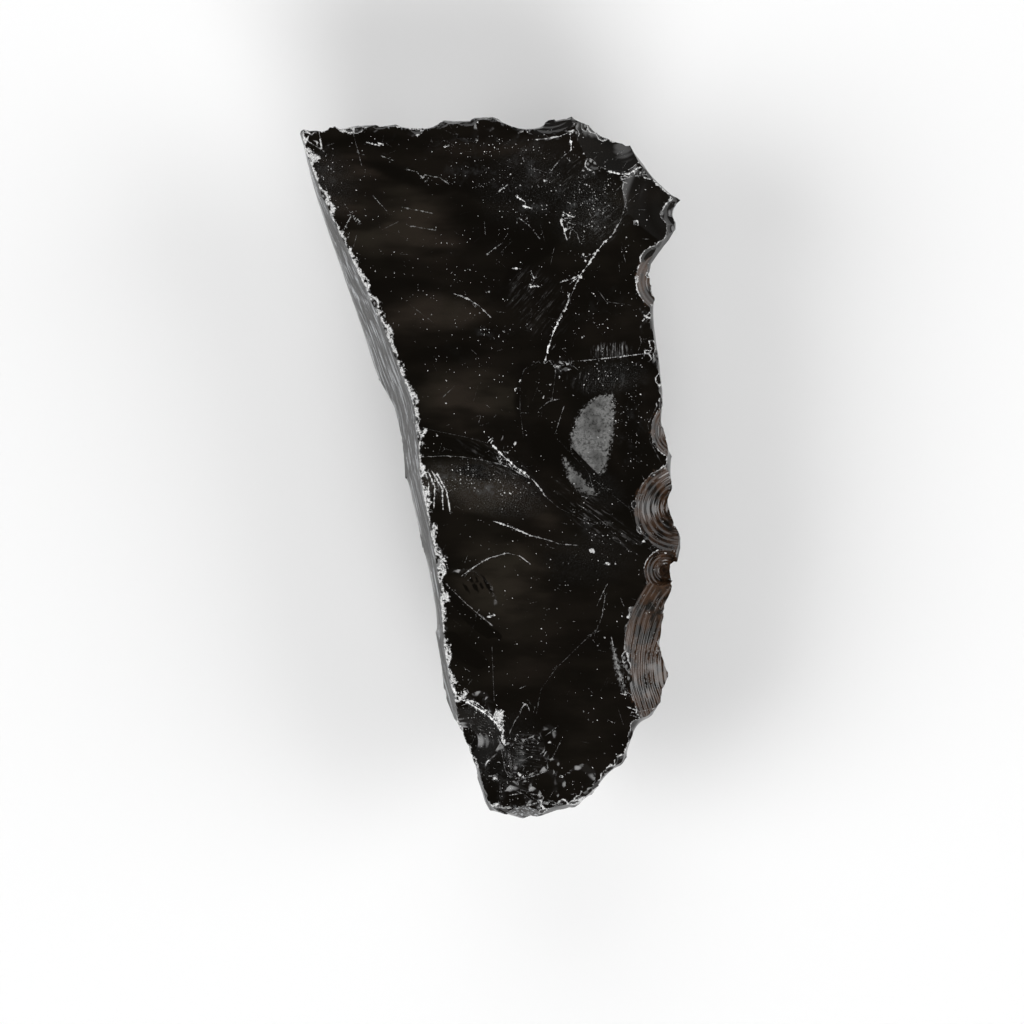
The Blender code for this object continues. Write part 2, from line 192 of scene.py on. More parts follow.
# ------------------------------------------------------------------------------------- the cuts
class Bowl:
    """Glass struck off by the side of a ball, as far as the reach from the axis where there is one.

    The waves are rings round the point where the blow fell: (x, y, z), their height and length.
    The unevenness is the height and size of soft lumps, which make the face's edges run crooked.
    """

    def __init__(self, name, centre, radius, axis=None, reach=None, waves=None, uneven=None):
        self.name, self.centre, self.radius = name, np.array(centre, float), radius
        self.axis, self.reach, self.waves, self.uneven = axis, reach, waves, uneven

    def near(self, points):
        away = points - self.centre
        range_of = np.linalg.norm(away, axis=1)
        hit = np.abs(range_of - self.radius) < min(NEAR, self.radius)
        if self.reach is not None:
            along = away @ self.axis
            hit &= (range_of**2 - along**2 < self.reach**2) & (along < 0)
        return np.flatnonzero(hit)

    def depth(self, points):
        """How deep each point is in the glass that was struck off, and the way out of the lump."""
        away = points - self.centre
        range_of = np.linalg.norm(away, axis=1)
        value = self.radius - range_of
        if self.waves:
            source, height, length = self.waves
            rings = np.linalg.norm(points - source, axis=1) / length
            rings += WAVE_WARP * smooth_noise(points, WAVE_WARP_SIZE, WAVE_WARP_SEED)
            value += height * np.sin(2 * math.pi * rings)
        if self.uneven:
            height, size = self.uneven
            seed = int(self.radius * UNEVEN_SEEDS)
            value += height * smooth_noise(points, size, seed)
        return value, -away / range_of[:, None]


class Scar:
    """Glass struck off from above: a turned hollow with ripples, round an upright axis."""

    def __init__(self, name, x, y, radius, level, low, high, height, pitch):
        self.name, self.centre, self.radius, self.level = name, np.array((x, y)), radius, level
        self.low, self.high, self.height, self.pitch = low, high, height, pitch
        gentle = GENTLE_SLOPE * (radius - level) / (high - low)
        self.power = SCAR_POWER if name in RIGHT_SCARS else min(SCAR_POWER, gentle)

    def near(self, points):
        across = np.linalg.norm(points[:, :2] - self.centre, axis=1)
        return np.flatnonzero((across < self.radius) & (points[:, 2] > self.low - NEAR))

    def depth(self, points):
        off = points[:, :2] - self.centre
        across = np.maximum(np.linalg.norm(off, axis=1), TINY)
        span = self.radius - self.level
        rise = np.clip((across - self.level) / span, 0.0, None)
        height = self.height * (1.0 + RIPPLE_UNEVEN * smooth_noise(points, *UNEVEN_NOISE))
        warp = RIPPLE_WARP * smooth_noise(points, *WARP_NOISE)
        phase = 2 * math.pi * ((self.radius - across) / self.pitch + warp)
        floor = self.low + (self.high - self.low) * rise**self.power + height * np.cos(phase)
        slope = (self.high - self.low) * self.power * rise ** (self.power - 1) / span
        slope += height * np.sin(phase) * 2 * math.pi / self.pitch
        length = np.sqrt(1.0 + slope**2)
        way = np.stack([-slope * off[:, 0] / across, -slope * off[:, 1] / across, np.ones(len(points))], 1)
        return (points[:, 2] - floor) / length, way / length[:, None]


class Blank:
    """The faces of the solid that no cut made: the base, and the walls above and below the rim."""

    name = "blank"

    def __init__(self, points, triangles):
        self.tree = BVHTree.FromPolygons(points.tolist(), triangles.tolist())

    def near(self, points):
        found = [self.tree.find_nearest(p, NEAR)[0] is not None for p in points.tolist()]
        return np.flatnonzero(found)

    def depth(self, points):
        value, way = np.full(len(points), FAR), np.zeros((len(points), 3))
        for number, point in enumerate(points.tolist()):
            spot, normal, _, _ = self.tree.find_nearest(point)
            value[number] = (Vector(point) - spot).dot(normal)
            way[number] = normal
        return value, way


WAVE_WARP, WAVE_WARP_SIZE, WAVE_WARP_SEED = 0.6, 22.0, 3
UNEVEN_SEEDS = 10  # a bowl's seed is its radius times this, so that most bowls have their own lumps
RIPPLE_UNEVEN, UNEVEN_NOISE = 0.9, (2.5, 5)  # how much the ripples' height varies; size and seed
RIPPLE_WARP, WARP_NOISE = 0.45, (4.0, 6)  # how far the ripples stray, in pitches; size and seed


def face_height(face, x, y):
    _, point, normal, radius, _ = face
    centre = np.array(point) + radius * unit(normal)
    return centre[2] - math.sqrt(max(radius**2 - (x - centre[0]) ** 2 - (y - centre[1]) ** 2, 0.0))


def rim_height(index):
    x, y, drop = RIM[index]
    return min(face_height(face, x, y) for face in FRONT_FACES) - drop


def inward_at(index):
    before = RIM[index - NORMAL_REACH]
    after = RIM[(index + NORMAL_REACH) % len(RIM)]
    return unit((after[1] - before[1], before[0] - after[0]))


def rim_point(index, inward, height):
    place = np.array(RIM[index][:2]) + inward * inward_at(index)
    return np.array((place[0], place[1], height))


def outward_at(index, rise):
    inward = inward_at(index)
    return unit((-inward[0], -inward[1], rise))


def bowl_of(name, point, normal, radius, reach, waves=None, uneven=None):
    axis = unit(normal)
    return Bowl(name, np.array(point) + radius * axis, radius, axis, reach, waves, uneven)


# Where each broad front face was struck, and the height and length of its waves.
FRONT_WAVES = {
    "upper_left": ((-30.0, 74.0, 36.0), 0.014, 9.0),
    "upper_right": ((40.0, 30.0, 36.0), 0.014, 6.0),
    "hollow": ((38.0, -4.0, 36.0), 0.018, 5.0),
    "lower": ((14.0, -74.0, 30.0), 0.012, 8.0),
    "top_corner": ((36.0, 50.0, 35.0), 0.020, 3.5),
}
BACK_WAVES = (0.050, 5.0)
FLAKE_WAVES, CHIP_WAVES = (0.022, 1.9), (0.035, 1.0)
FRONT_UNEVEN, BACK_UNEVEN, FLAKE_UNEVEN = (0.045, 8.0), (0.07, 9.0), (0.07, 3.0)


def solid_cuts():
    """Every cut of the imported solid, from the same dimensions and the same random draws."""
    cuts = [bowl_of(*face, waves=FRONT_WAVES[face[0]], uneven=FRONT_UNEVEN) for face in FRONT_FACES]
    for name, point, normal, radius, reach in BACK_FACES + BACK_SCARS:
        source = np.array(point) + np.array((0.0, 0.0, reach / 3))
        cuts.append(bowl_of(name, point, normal, radius, reach, (source, *BACK_WAVES), BACK_UNEVEN))
    cuts += [Scar(*scar) for scar in EDGE_SCARS]
    rng = random.Random(FLAKE_SEED)
    for index in range(0, len(RIM), FLAKE_STEP):
        radius, drop = rng.uniform(*FLAKE_RADIUS), rng.uniform(*FLAKE_DROP)
        fall = rng.uniform(*FLAKE_FALL)
        bite = drop * drop / (2 * radius) + FLAKE_RIM_BITE
        point = rim_point(index, WAIST_IN * drop / WAIST_DROP + bite, rim_height(index) - drop)
        source = rim_point(index, 0.0, rim_height(index))
        axis = outward_at(index, fall)
        cuts.append(bowl_of(f"flake_{index}", point, axis, radius, FLAKE_REACH, (source, *FLAKE_WAVES)))
    rng = random.Random(CHIP_SEED)
    for index in range(0, len(RIM) - len(RIM_LEFT), CHIP_STEP):
        radius, bite = rng.uniform(*CHIP_RADIUS), rng.uniform(*CHIP_BITE)
        rng.uniform(*BALL_ANGLE)  # the draw that turned the solid's ball
        drop = RIM[index][2]
        place = rim_point(index, drop / math.tan(CROWN_SLOPE), rim_height(index) + drop)
        centre = place + outward_at(index, CHIP_RISE) * (radius - bite)
        cuts.append(Bowl(f"chip_{index}", centre, radius, waves=(place, *CHIP_WAVES)))
    return cuts


def deepest(points, cuts, near):
    """For each point, the cut that it is deepest in and the next: depth, way out and cut number."""
    depth = np.full((2, len(points)), FAR)
    way = np.zeros((2, len(points), 3))
    which = np.full((2, len(points)), -1)
    for number, (cut, index) in enumerate(zip(cuts, near)):
        if not len(index):
            continue
        value, out = cut.depth(points[index])
        first = value > depth[0, index]
        second = ~first & (value > depth[1, index])
        top = index[first]
        for kept in (depth, way, which):
            kept[1, top] = kept[0, top]
        for row, chosen in ((0, first), (1, second)):
            spot = index[chosen]
            depth[row, spot], way[row, spot], which[row, spot] = value[chosen], out[chosen], number
    return depth, way, which


def project(points, cuts, near, steps=PROJECT_STEPS):
    """The points laid on the surface that the cuts leave."""
    for _ in range(steps):
        depth, way, _ = deepest(points, cuts, near)
        found = depth[0] > FAR
        move = np.clip(depth[0], -STEP_MOST, STEP_MOST)[:, None] * way[0]
        points = points - np.where(found[:, None], move, 0.0)
    return points


STEP_MOST = 0.6


# --------------------------------------------------------------------------------- mesh helpers
def edges_of(faces):
    """Each edge once, as two point numbers."""
    sides = np.concatenate([faces[:, [k, (k + 1) % faces.shape[1]]] for k in range(faces.shape[1])])
    return np.unique(np.sort(sides, axis=1), axis=0)


def neighbour_mean(points, edges):
    total, count = np.zeros_like(points), np.zeros(len(points))
    for a, b in (edges.T, edges.T[::-1]):
        np.add.at(total, a, points[b])
        np.add.at(count, a, 1)
    return total / np.maximum(count, 1)[:, None]


def relax(points, edges, still, way, steps, share):
    """Evens out the points within the surface: each moves across its own normal only."""
    for _ in range(steps):
        move = (neighbour_mean(points, edges) - points) * share
        move -= np.sum(move * way, axis=1)[:, None] * way
        move[still] = 0.0
        points = points + move
    return points


def tree_of(points):
    """A search tree that finds the points by their number."""
    tree = KDTree(len(points))
    for number, point in enumerate(points.tolist()):
        tree.insert(point, number)
    tree.balance()
    return tree


def nearest_of(points, others):
    """For each point, the number of the nearest of the others and how far off it is."""
    tree = tree_of(others)
    found = [tree.find(point) for point in points.tolist()]
    return np.array([number for _, number, _ in found]), np.array([off for _, _, off in found])


def read_mesh(mesh):
    """The mesh's points in millimetres, and the point of each corner of its faces."""
    points = np.empty(len(mesh.vertices) * 3)
    mesh.vertices.foreach_get("co", points)
    corners = np.empty(len(mesh.loops), int)
    mesh.loops.foreach_get("vertex_index", corners)
    return points.reshape(-1, 3) / MM, corners


def solid_triangles():
    """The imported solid's points and triangles, its shared points made one."""
    bm = bmesh.new()
    bm.from_mesh(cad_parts[NODE].data)
    bmesh.ops.remove_doubles(bm, verts=bm.verts[:], dist=WELD * MM)
    bmesh.ops.triangulate(bm, faces=bm.faces[:])
    mesh = bpy.data.meshes.new("solid")
    bm.to_mesh(mesh)
    bm.free()
    return mesh


WELD = 0.002


def remeshed(mesh, voxel):
    """Even quads round the mesh's surface."""
    obj = bpy.data.objects.new("remesh", mesh)
    bpy.context.scene.collection.objects.link(obj)
    modifier = obj.modifiers.new("remesh", "REMESH")
    modifier.mode = "VOXEL"
    modifier.voxel_size = voxel * MM
    graph = bpy.context.evaluated_depsgraph_get()
    even = bpy.data.meshes.new_from_object(obj.evaluated_get(graph))
    bpy.data.objects.remove(obj)
    return even


def blank_of(points, triangles, cuts):
    """The part of the solid that no cut made. The solid's flat panes inside a scar aren't part of it."""
    corners = points[triangles]
    middles = corners.mean(axis=1)
    depth, _, _ = deepest(middles, cuts, near_lists(cuts, middles))
    way = np.cross(corners[:, 1] - corners[:, 0], corners[:, 2] - corners[:, 0])
    rise = way[:, 2] / np.maximum(np.linalg.norm(way, axis=1), TINY)
    pane = (rise > PANE_RISE) & (depth[0] > -PANE_DEPTH)
    return Blank(points, triangles[(depth[0] < -BLANK_TOLERANCE) & ~pane])


def crease_points(points, edges, depth, which, reach):
    """The points to move onto the edge between two cuts: the nearer end of each mesh edge across it."""
    a, b = edges.T
    across = which[0, a] != which[0, b]
    a, b = a[across], b[across]
    nearer = np.where(depth[1, a] > depth[1, b], a, b)
    chosen = np.zeros(len(points), bool)
    chosen[nearer] = True
    return chosen & (depth[1] > -reach) & (which[1] >= 0)


def snap(points, chosen, cuts, which, steps=SNAP_STEPS):
    """Moves the chosen points onto both of their two cuts."""
    index = np.flatnonzero(chosen)
    first, second = which[0, index], which[1, index]
    place = points[index]
    for _ in range(steps):
        values, ways = [], []
        for side in (first, second):
            value, way = np.zeros(len(index)), np.zeros((len(index), 3))
            for number in np.unique(side):
                rows = np.flatnonzero(side == number)
                value[rows], way[rows] = cuts[number].depth(place[rows])
            values.append(value)
            ways.append(way)
        alike = np.clip(np.sum(ways[0] * ways[1], axis=1), -1.0, ALIKE_MOST)
        scale = 1.0 / (1.0 - alike**2)
        pull = (
            ((values[0] - alike * values[1]) * scale)[:, None] * ways[0]
            + ((values[1] - alike * values[0]) * scale)[:, None] * ways[1]
        )
        length = np.linalg.norm(pull, axis=1, keepdims=True)
        place = place - pull * np.minimum(1.0, SNAP_MOST / np.maximum(length, TINY))
    points = points.copy()
    points[index] = place
    angle = np.degrees(np.arccos(np.clip(np.sum(ways[0] * ways[1], axis=1), -1.0, 1.0)))
    return points, index, angle, unit(ways[0] + ways[1])


ALIKE_MOST, SNAP_MOST = 0.9985, 0.5


def split_quads(points, quads, crease):
    """Two triangles from each quad, parted along a crease where one crosses it from corner to corner."""
    a, b, c, d = quads.T
    first = crease[a] & crease[c] & ~(crease[b] & crease[d])
    second = crease[b] & crease[d] & ~(crease[a] & crease[c])
    ac = np.linalg.norm(points[a] - points[c], axis=1)
    bd = np.linalg.norm(points[b] - points[d], axis=1)
    use_ac = first | (~second & (ac <= bd))
    one = np.where(use_ac[:, None], quads[:, [0, 1, 2]], quads[:, [0, 1, 3]])
    two = np.where(use_ac[:, None], quads[:, [0, 2, 3]], quads[:, [1, 2, 3]])
    return np.concatenate([one, two])


def refined(points, triangles, chosen):
    """The mesh with each edge between two chosen points cut in half."""
    bm = bmesh.new()
    verts = [bm.verts.new(p) for p in points.tolist()]
    for face in triangles.tolist():
        bm.faces.new([verts[k] for k in face])
    bm.verts.ensure_lookup_table()
    bm.verts.index_update()
    cut = [e for e in bm.edges if chosen[e.verts[0].index] and chosen[e.verts[1].index]]
    bmesh.ops.subdivide_edges(bm, edges=cut, cuts=1, use_grid_fill=True)
    bmesh.ops.triangulate(bm, faces=bm.faces[:])
    bm.verts.index_update()
    points = np.array([v.co[:] for v in bm.verts])
    triangles = np.array([[v.index for v in f.verts] for f in bm.faces])
    bm.free()
    return points, triangles


# ---------------------------------------------------------------------------------- fine chips
def edge_power(points, cuts, which, index, angle):
    """How crushed each crease point is, from 0 to 1: most along the left arris of the front."""
    names = np.array([cut.name for cut in cuts])
    pair = names[which[:, index]]
    both_front = np.isin(pair, list(FRONT_WAVES)).all(axis=0)
    in_front = np.isin(pair, list(FRONT_WAVES)).any(axis=0)
    inner = np.isin(pair, [flake[0] for flake in FRONT_FLAKES] + ["shell"]).any(axis=0)
    stretch = np.clip(smooth_noise(points[index], STRETCH, STRETCH_SEED) * STRETCH_STEEP, 0.0, 1.0)
    power = np.where(in_front, RIM_POWER, BACK_POWER * stretch)
    power = np.where(inner | both_front, INNER_POWER, power)
    power = power * np.clip(angle / FULL_ANGLE, LEAST_SHARE, 1.0)
    flat = points[index] * (1.0, 1.0, 0.0)
    for strength, path in CRUSHED_EDGES.values():
        _, off, _ = lines_on(flat, segments_of(path))
        power = np.where((off < LINE_REACH) & in_front & ~both_front, strength, power)
    return power


UP = np.array((0.0, 0.0, 1.0))
RIM_POWER, BACK_POWER, INNER_POWER, FULL_ANGLE, LEAST_SHARE = 0.5, 0.8, 0.10, 12.0, 0.3
STRETCH, STRETCH_SEED, STRETCH_STEEP = 7.0, 4, 2.0  # of the crushed stretches behind, in millimetres
# Stretches of the front's edge that are crushed more or less than the rest, as pixels.
CRUSHED_EDGES = {
    "left_top": (1.3, [(305, 130), (311, 165), (321, 197), (338, 230), (350, 261)]),
    "left_middle": (
        1.6,
        [(357, 278), (374, 307), (389, 338), (403, 369), (418, 407), (417, 451), (425, 497)],
    ),
    "left_low": (1.5, [(429, 518), (439, 579), (444, 632), (457, 688), (464, 705)]),
    "heel": (1.4, [(464, 705), (485, 711), (500, 725), (490, 790)]),
    "scars": (0.3, [(651, 309), (650, 441), (636, 518), (645, 589), (624, 632), (627, 700), (636, 740)]),
    "foot": (0.6, [(630, 750), (600, 795), (566, 808), (491, 813)]),
}
FINE_SEED, FINE_SPACING, FINE_TILT = 21, 0.9, 0.6
FINE_RADIUS, FINE_BITE, WIDE_ANGLE = (0.35, 1.9), (0.04, 0.26), 55.0


def fine_chips(points, index, angle, outward, power):
    """Small balls along the creases, more where the edge is crushed and larger where it is sharp."""
    rng = np.random.default_rng(FINE_SEED)
    order = rng.permutation(len(index))
    kept = tree_of(points[index])
    free = np.ones(len(index), bool)
    chips = []
    for row in order:
        if not free[row] or rng.uniform() > power[row]:
            continue
        for _, number, _ in kept.find_range(points[index[row]], FINE_SPACING):
            free[number] = False
        size = rng.uniform() ** 2 * min(1.0, angle[row] / WIDE_ANGLE)
        radius = FINE_RADIUS[0] + (FINE_RADIUS[1] - FINE_RADIUS[0]) * size
        bite = FINE_BITE[0] + (FINE_BITE[1] - FINE_BITE[0]) * size
        way = unit(outward[row] + rng.uniform(-FINE_TILT, FINE_TILT, 3))
        chips.append(Bowl("fine_chip", points[index[row]] + way * (radius - bite), radius))
    return chips


# Shallow flakes on the front face: its middle and the rim of the flake, as pixels of the
# photograph, how deep it is in the middle, and the height and length of its waves.
FRONT_FLAKES = [
    ("lobe", (538, 392), (521, 392), 0.22, 0.020, 1.6),
    ("lens", (462, 604), (478, 618), 0.20, 0.020, 1.8),
    ("foot_shell", (470, 722), (484, 712), 0.30, 0.040, 1.0),
    ("ridge_shell", (602, 152), (620, 170), 0.32, 0.030, 1.2),
    ("scallop", (552, 126), (560, 139), 0.30, 0.030, 1.1),
    ("dark_shell", (462, 452), (488, 458), 0.22, 0.015, 2.0),
    ("foot_step", (522, 768), (536, 778), 0.20, 0.050, 1.3),
    ("edge_shell_1", (651, 331), (641, 331), 0.28, 0.030, 0.9),
    ("edge_shell_2", (618, 684), (608, 676), 0.26, 0.030, 1.0),
]


def front_flakes():
    """A shallow bowl for each flake on the front face, at the face's own height."""
    found = []
    for name, middle, rim, deep, height, length in FRONT_FLAKES:
        x, y = at(*middle)
        reach = math.dist(at(*middle), at(*rim))
        radius = (reach**2 + deep**2) / (2 * deep)
        z = min(face_height(face, x, y) for face in FRONT_FACES)
        source = np.array((x + reach, y + reach, z))
        waves = (source, height, length)
        reach *= FLAKE_OVERREACH
        found.append(bowl_of(name, (x, y, z - deep), (0, 0, 1), radius, reach, waves, FLAKE_UNEVEN))
    return found


FLAKE_OVERREACH = 1.6
# Groups of small shells: the middle and half sizes of their oval in pixels, how many, and the
# least and greatest radius and depth in millimetres.
SHELL_GROUPS = [
    ((512, 770), (44, 40), 34, (0.7, 2.8), (0.10, 0.40)),
    ((478, 716), (16, 14), 7, (0.8, 2.0), (0.10, 0.30)),
    ((400, 131), (90, 7), 12, (0.9, 2.4), (0.10, 0.30)),
    ((530, 134), (70, 12), 12, (0.9, 2.6), (0.10, 0.30)),
    ((612, 160), (34, 22), 12, (0.9, 2.4), (0.10, 0.30)),
    ((650, 320), (8, 44), 8, (0.8, 1.8), (0.10, 0.30)),
    ((545, 345), (46, 20), 9, (0.6, 1.4), (0.04, 0.10)),
    ((570, 800), (44, 16), 9, (0.8, 2.0), (0.10, 0.28)),
]
SHELL_SEED, SHELL_TILT, SHELL_UNEVEN, SHELL_WAVES = 41, 0.30, (0.05, 1.6), (0.02, 0.9)
SHELL_BLOW = 2.0  # a shell's blow fell within this many times its reach from its middle


def front_shells():
    """Small shells struck off the front in groups, each tilted its own way."""
    rng = np.random.default_rng(SHELL_SEED)
    found = []
    for middle, half, count, reach_range, deep_range in SHELL_GROUPS:
        for _ in range(count):
            spot = np.array(middle) + np.array(half) * rng.uniform(-1, 1, 2)
            x, y = at(*spot)
            share = rng.uniform()
            reach = reach_range[0] + (reach_range[1] - reach_range[0]) * share**2
            deep = deep_range[0] + (deep_range[1] - deep_range[0]) * share
            radius = (reach**2 + deep**2) / (2 * deep)
            z = min(face_height(face, x, y) for face in FRONT_FACES) - deep
            tilt = rng.uniform(-SHELL_TILT, SHELL_TILT, 2) * min(1.0, deep / deep_range[1])
            blow = np.array((*rng.uniform(-SHELL_BLOW, SHELL_BLOW, 2), 0.0))
            source = np.array((x, y, z)) + blow * reach
            shape = ("shell", (x, y, z), (*tilt, 1.0), radius, reach * FLAKE_OVERREACH)
            found.append(bowl_of(*shape, (source, *SHELL_WAVES), SHELL_UNEVEN))
    return found


# ------------------------------------------------------------------------- from solid to surface
def near_lists(cuts, points):
    return [cut.near(points) for cut in cuts]


def settled(points, faces, cuts, reach):
    """Lays the points on the cuts, evens them out and moves the nearest onto each crease."""
    edges = edges_of(faces)
    near = near_lists(cuts, points)
    points = project(points, cuts, near)
    depth, way, which = deepest(points, cuts, near)
    still = crease_points(points, edges, depth, which, reach)
    points = relax(points, edges, still, way[0], RELAX_STEPS, RELAX_SHARE)
    points = project(points, cuts, near)
    depth, way, which = deepest(points, cuts, near)
    chosen = crease_points(points, edges, depth, which, reach)
    points, index, angle, outward = snap(points, chosen, cuts, which)
    return points, which, index, angle, outward


def smooth_walls(points, edges, which, blank_number, still):
    """Evens the uncut walls, whose flat panes would else show, leaving their edges where they are."""
    wall = (which[0] == blank_number) & ~still & (points[:, 2] > WALL_FLOOR)
    for _ in range(WALL_SMOOTH_STEPS):
        mean = neighbour_mean(points, edges)
        points = np.where(wall[:, None], points + (mean - points) * RELAX_SHARE, points)
    return points


WALL_FLOOR = 0.6  # the walls are above this height, and the base is below it


def fine_surface():
    """The lump's fine points and triangles, with what is known of each point."""
    solid = solid_triangles()
    solid_points, corners = read_mesh(solid)
    triangles = corners.reshape(-1, 3)
    cuts = solid_cuts()
    cuts.append(blank_of(solid_points, triangles, cuts))
    blank_number = len(cuts) - 1
    cuts += front_flakes() + front_shells()
    points, corners = read_mesh(remeshed(solid, VOXEL))
    quads = corners.reshape(-1, 4)
    points, which, index, angle, outward = settled(points, quads, cuts, SNAP * VOXEL)
    power = edge_power(points, cuts, which, index, angle)
    crease = np.zeros(len(points), bool)
    crease[index] = True
    triangles = split_quads(points, quads, crease)
    cuts += fine_chips(points, index, angle, outward, power)
    rippled = [number for number, cut in enumerate(cuts) if isinstance(cut, Scar)]
    right = [number for number in rippled if cuts[number].name in RIGHT_SCARS]
    _, off = nearest_of(points, points[index])
    close = (off < REFINE_REACH) | np.isin(which[0], rippled)
    points, triangles = refined(points, triangles, close & (points[:, 2] > REFINE_FLOOR))
    points, which, _, _, _ = settled(points, triangles, cuts, SNAP * VOXEL / 2)
    _, off, _ = lines_on(points * (1.0, 1.0, 0.0), mark_segments())
    close = (off < MARK_REFINE) & (points[:, 2] > REFINE_FLOOR)
    close |= np.isin(which[0], right)
    points, triangles = refined(points, triangles, close)
    points, which, index, angle, _ = settled(points, triangles, cuts, SNAP * VOXEL / 2)
    still = np.zeros(len(points), bool)
    still[index] = True
    points = smooth_walls(points, edges_of(triangles), which, blank_number, still)
    near = near_lists(cuts, points)
    _, way, which = deepest(points, cuts, near)
    names = np.array([cut.name for cut in cuts])
    return points, triangles, names[which[0]], way[0], index, edge_power(points, cuts, which, index, angle)


REFINE_REACH, REFINE_FLOOR, MARK_REFINE = 0.60, 24.0, 0.42


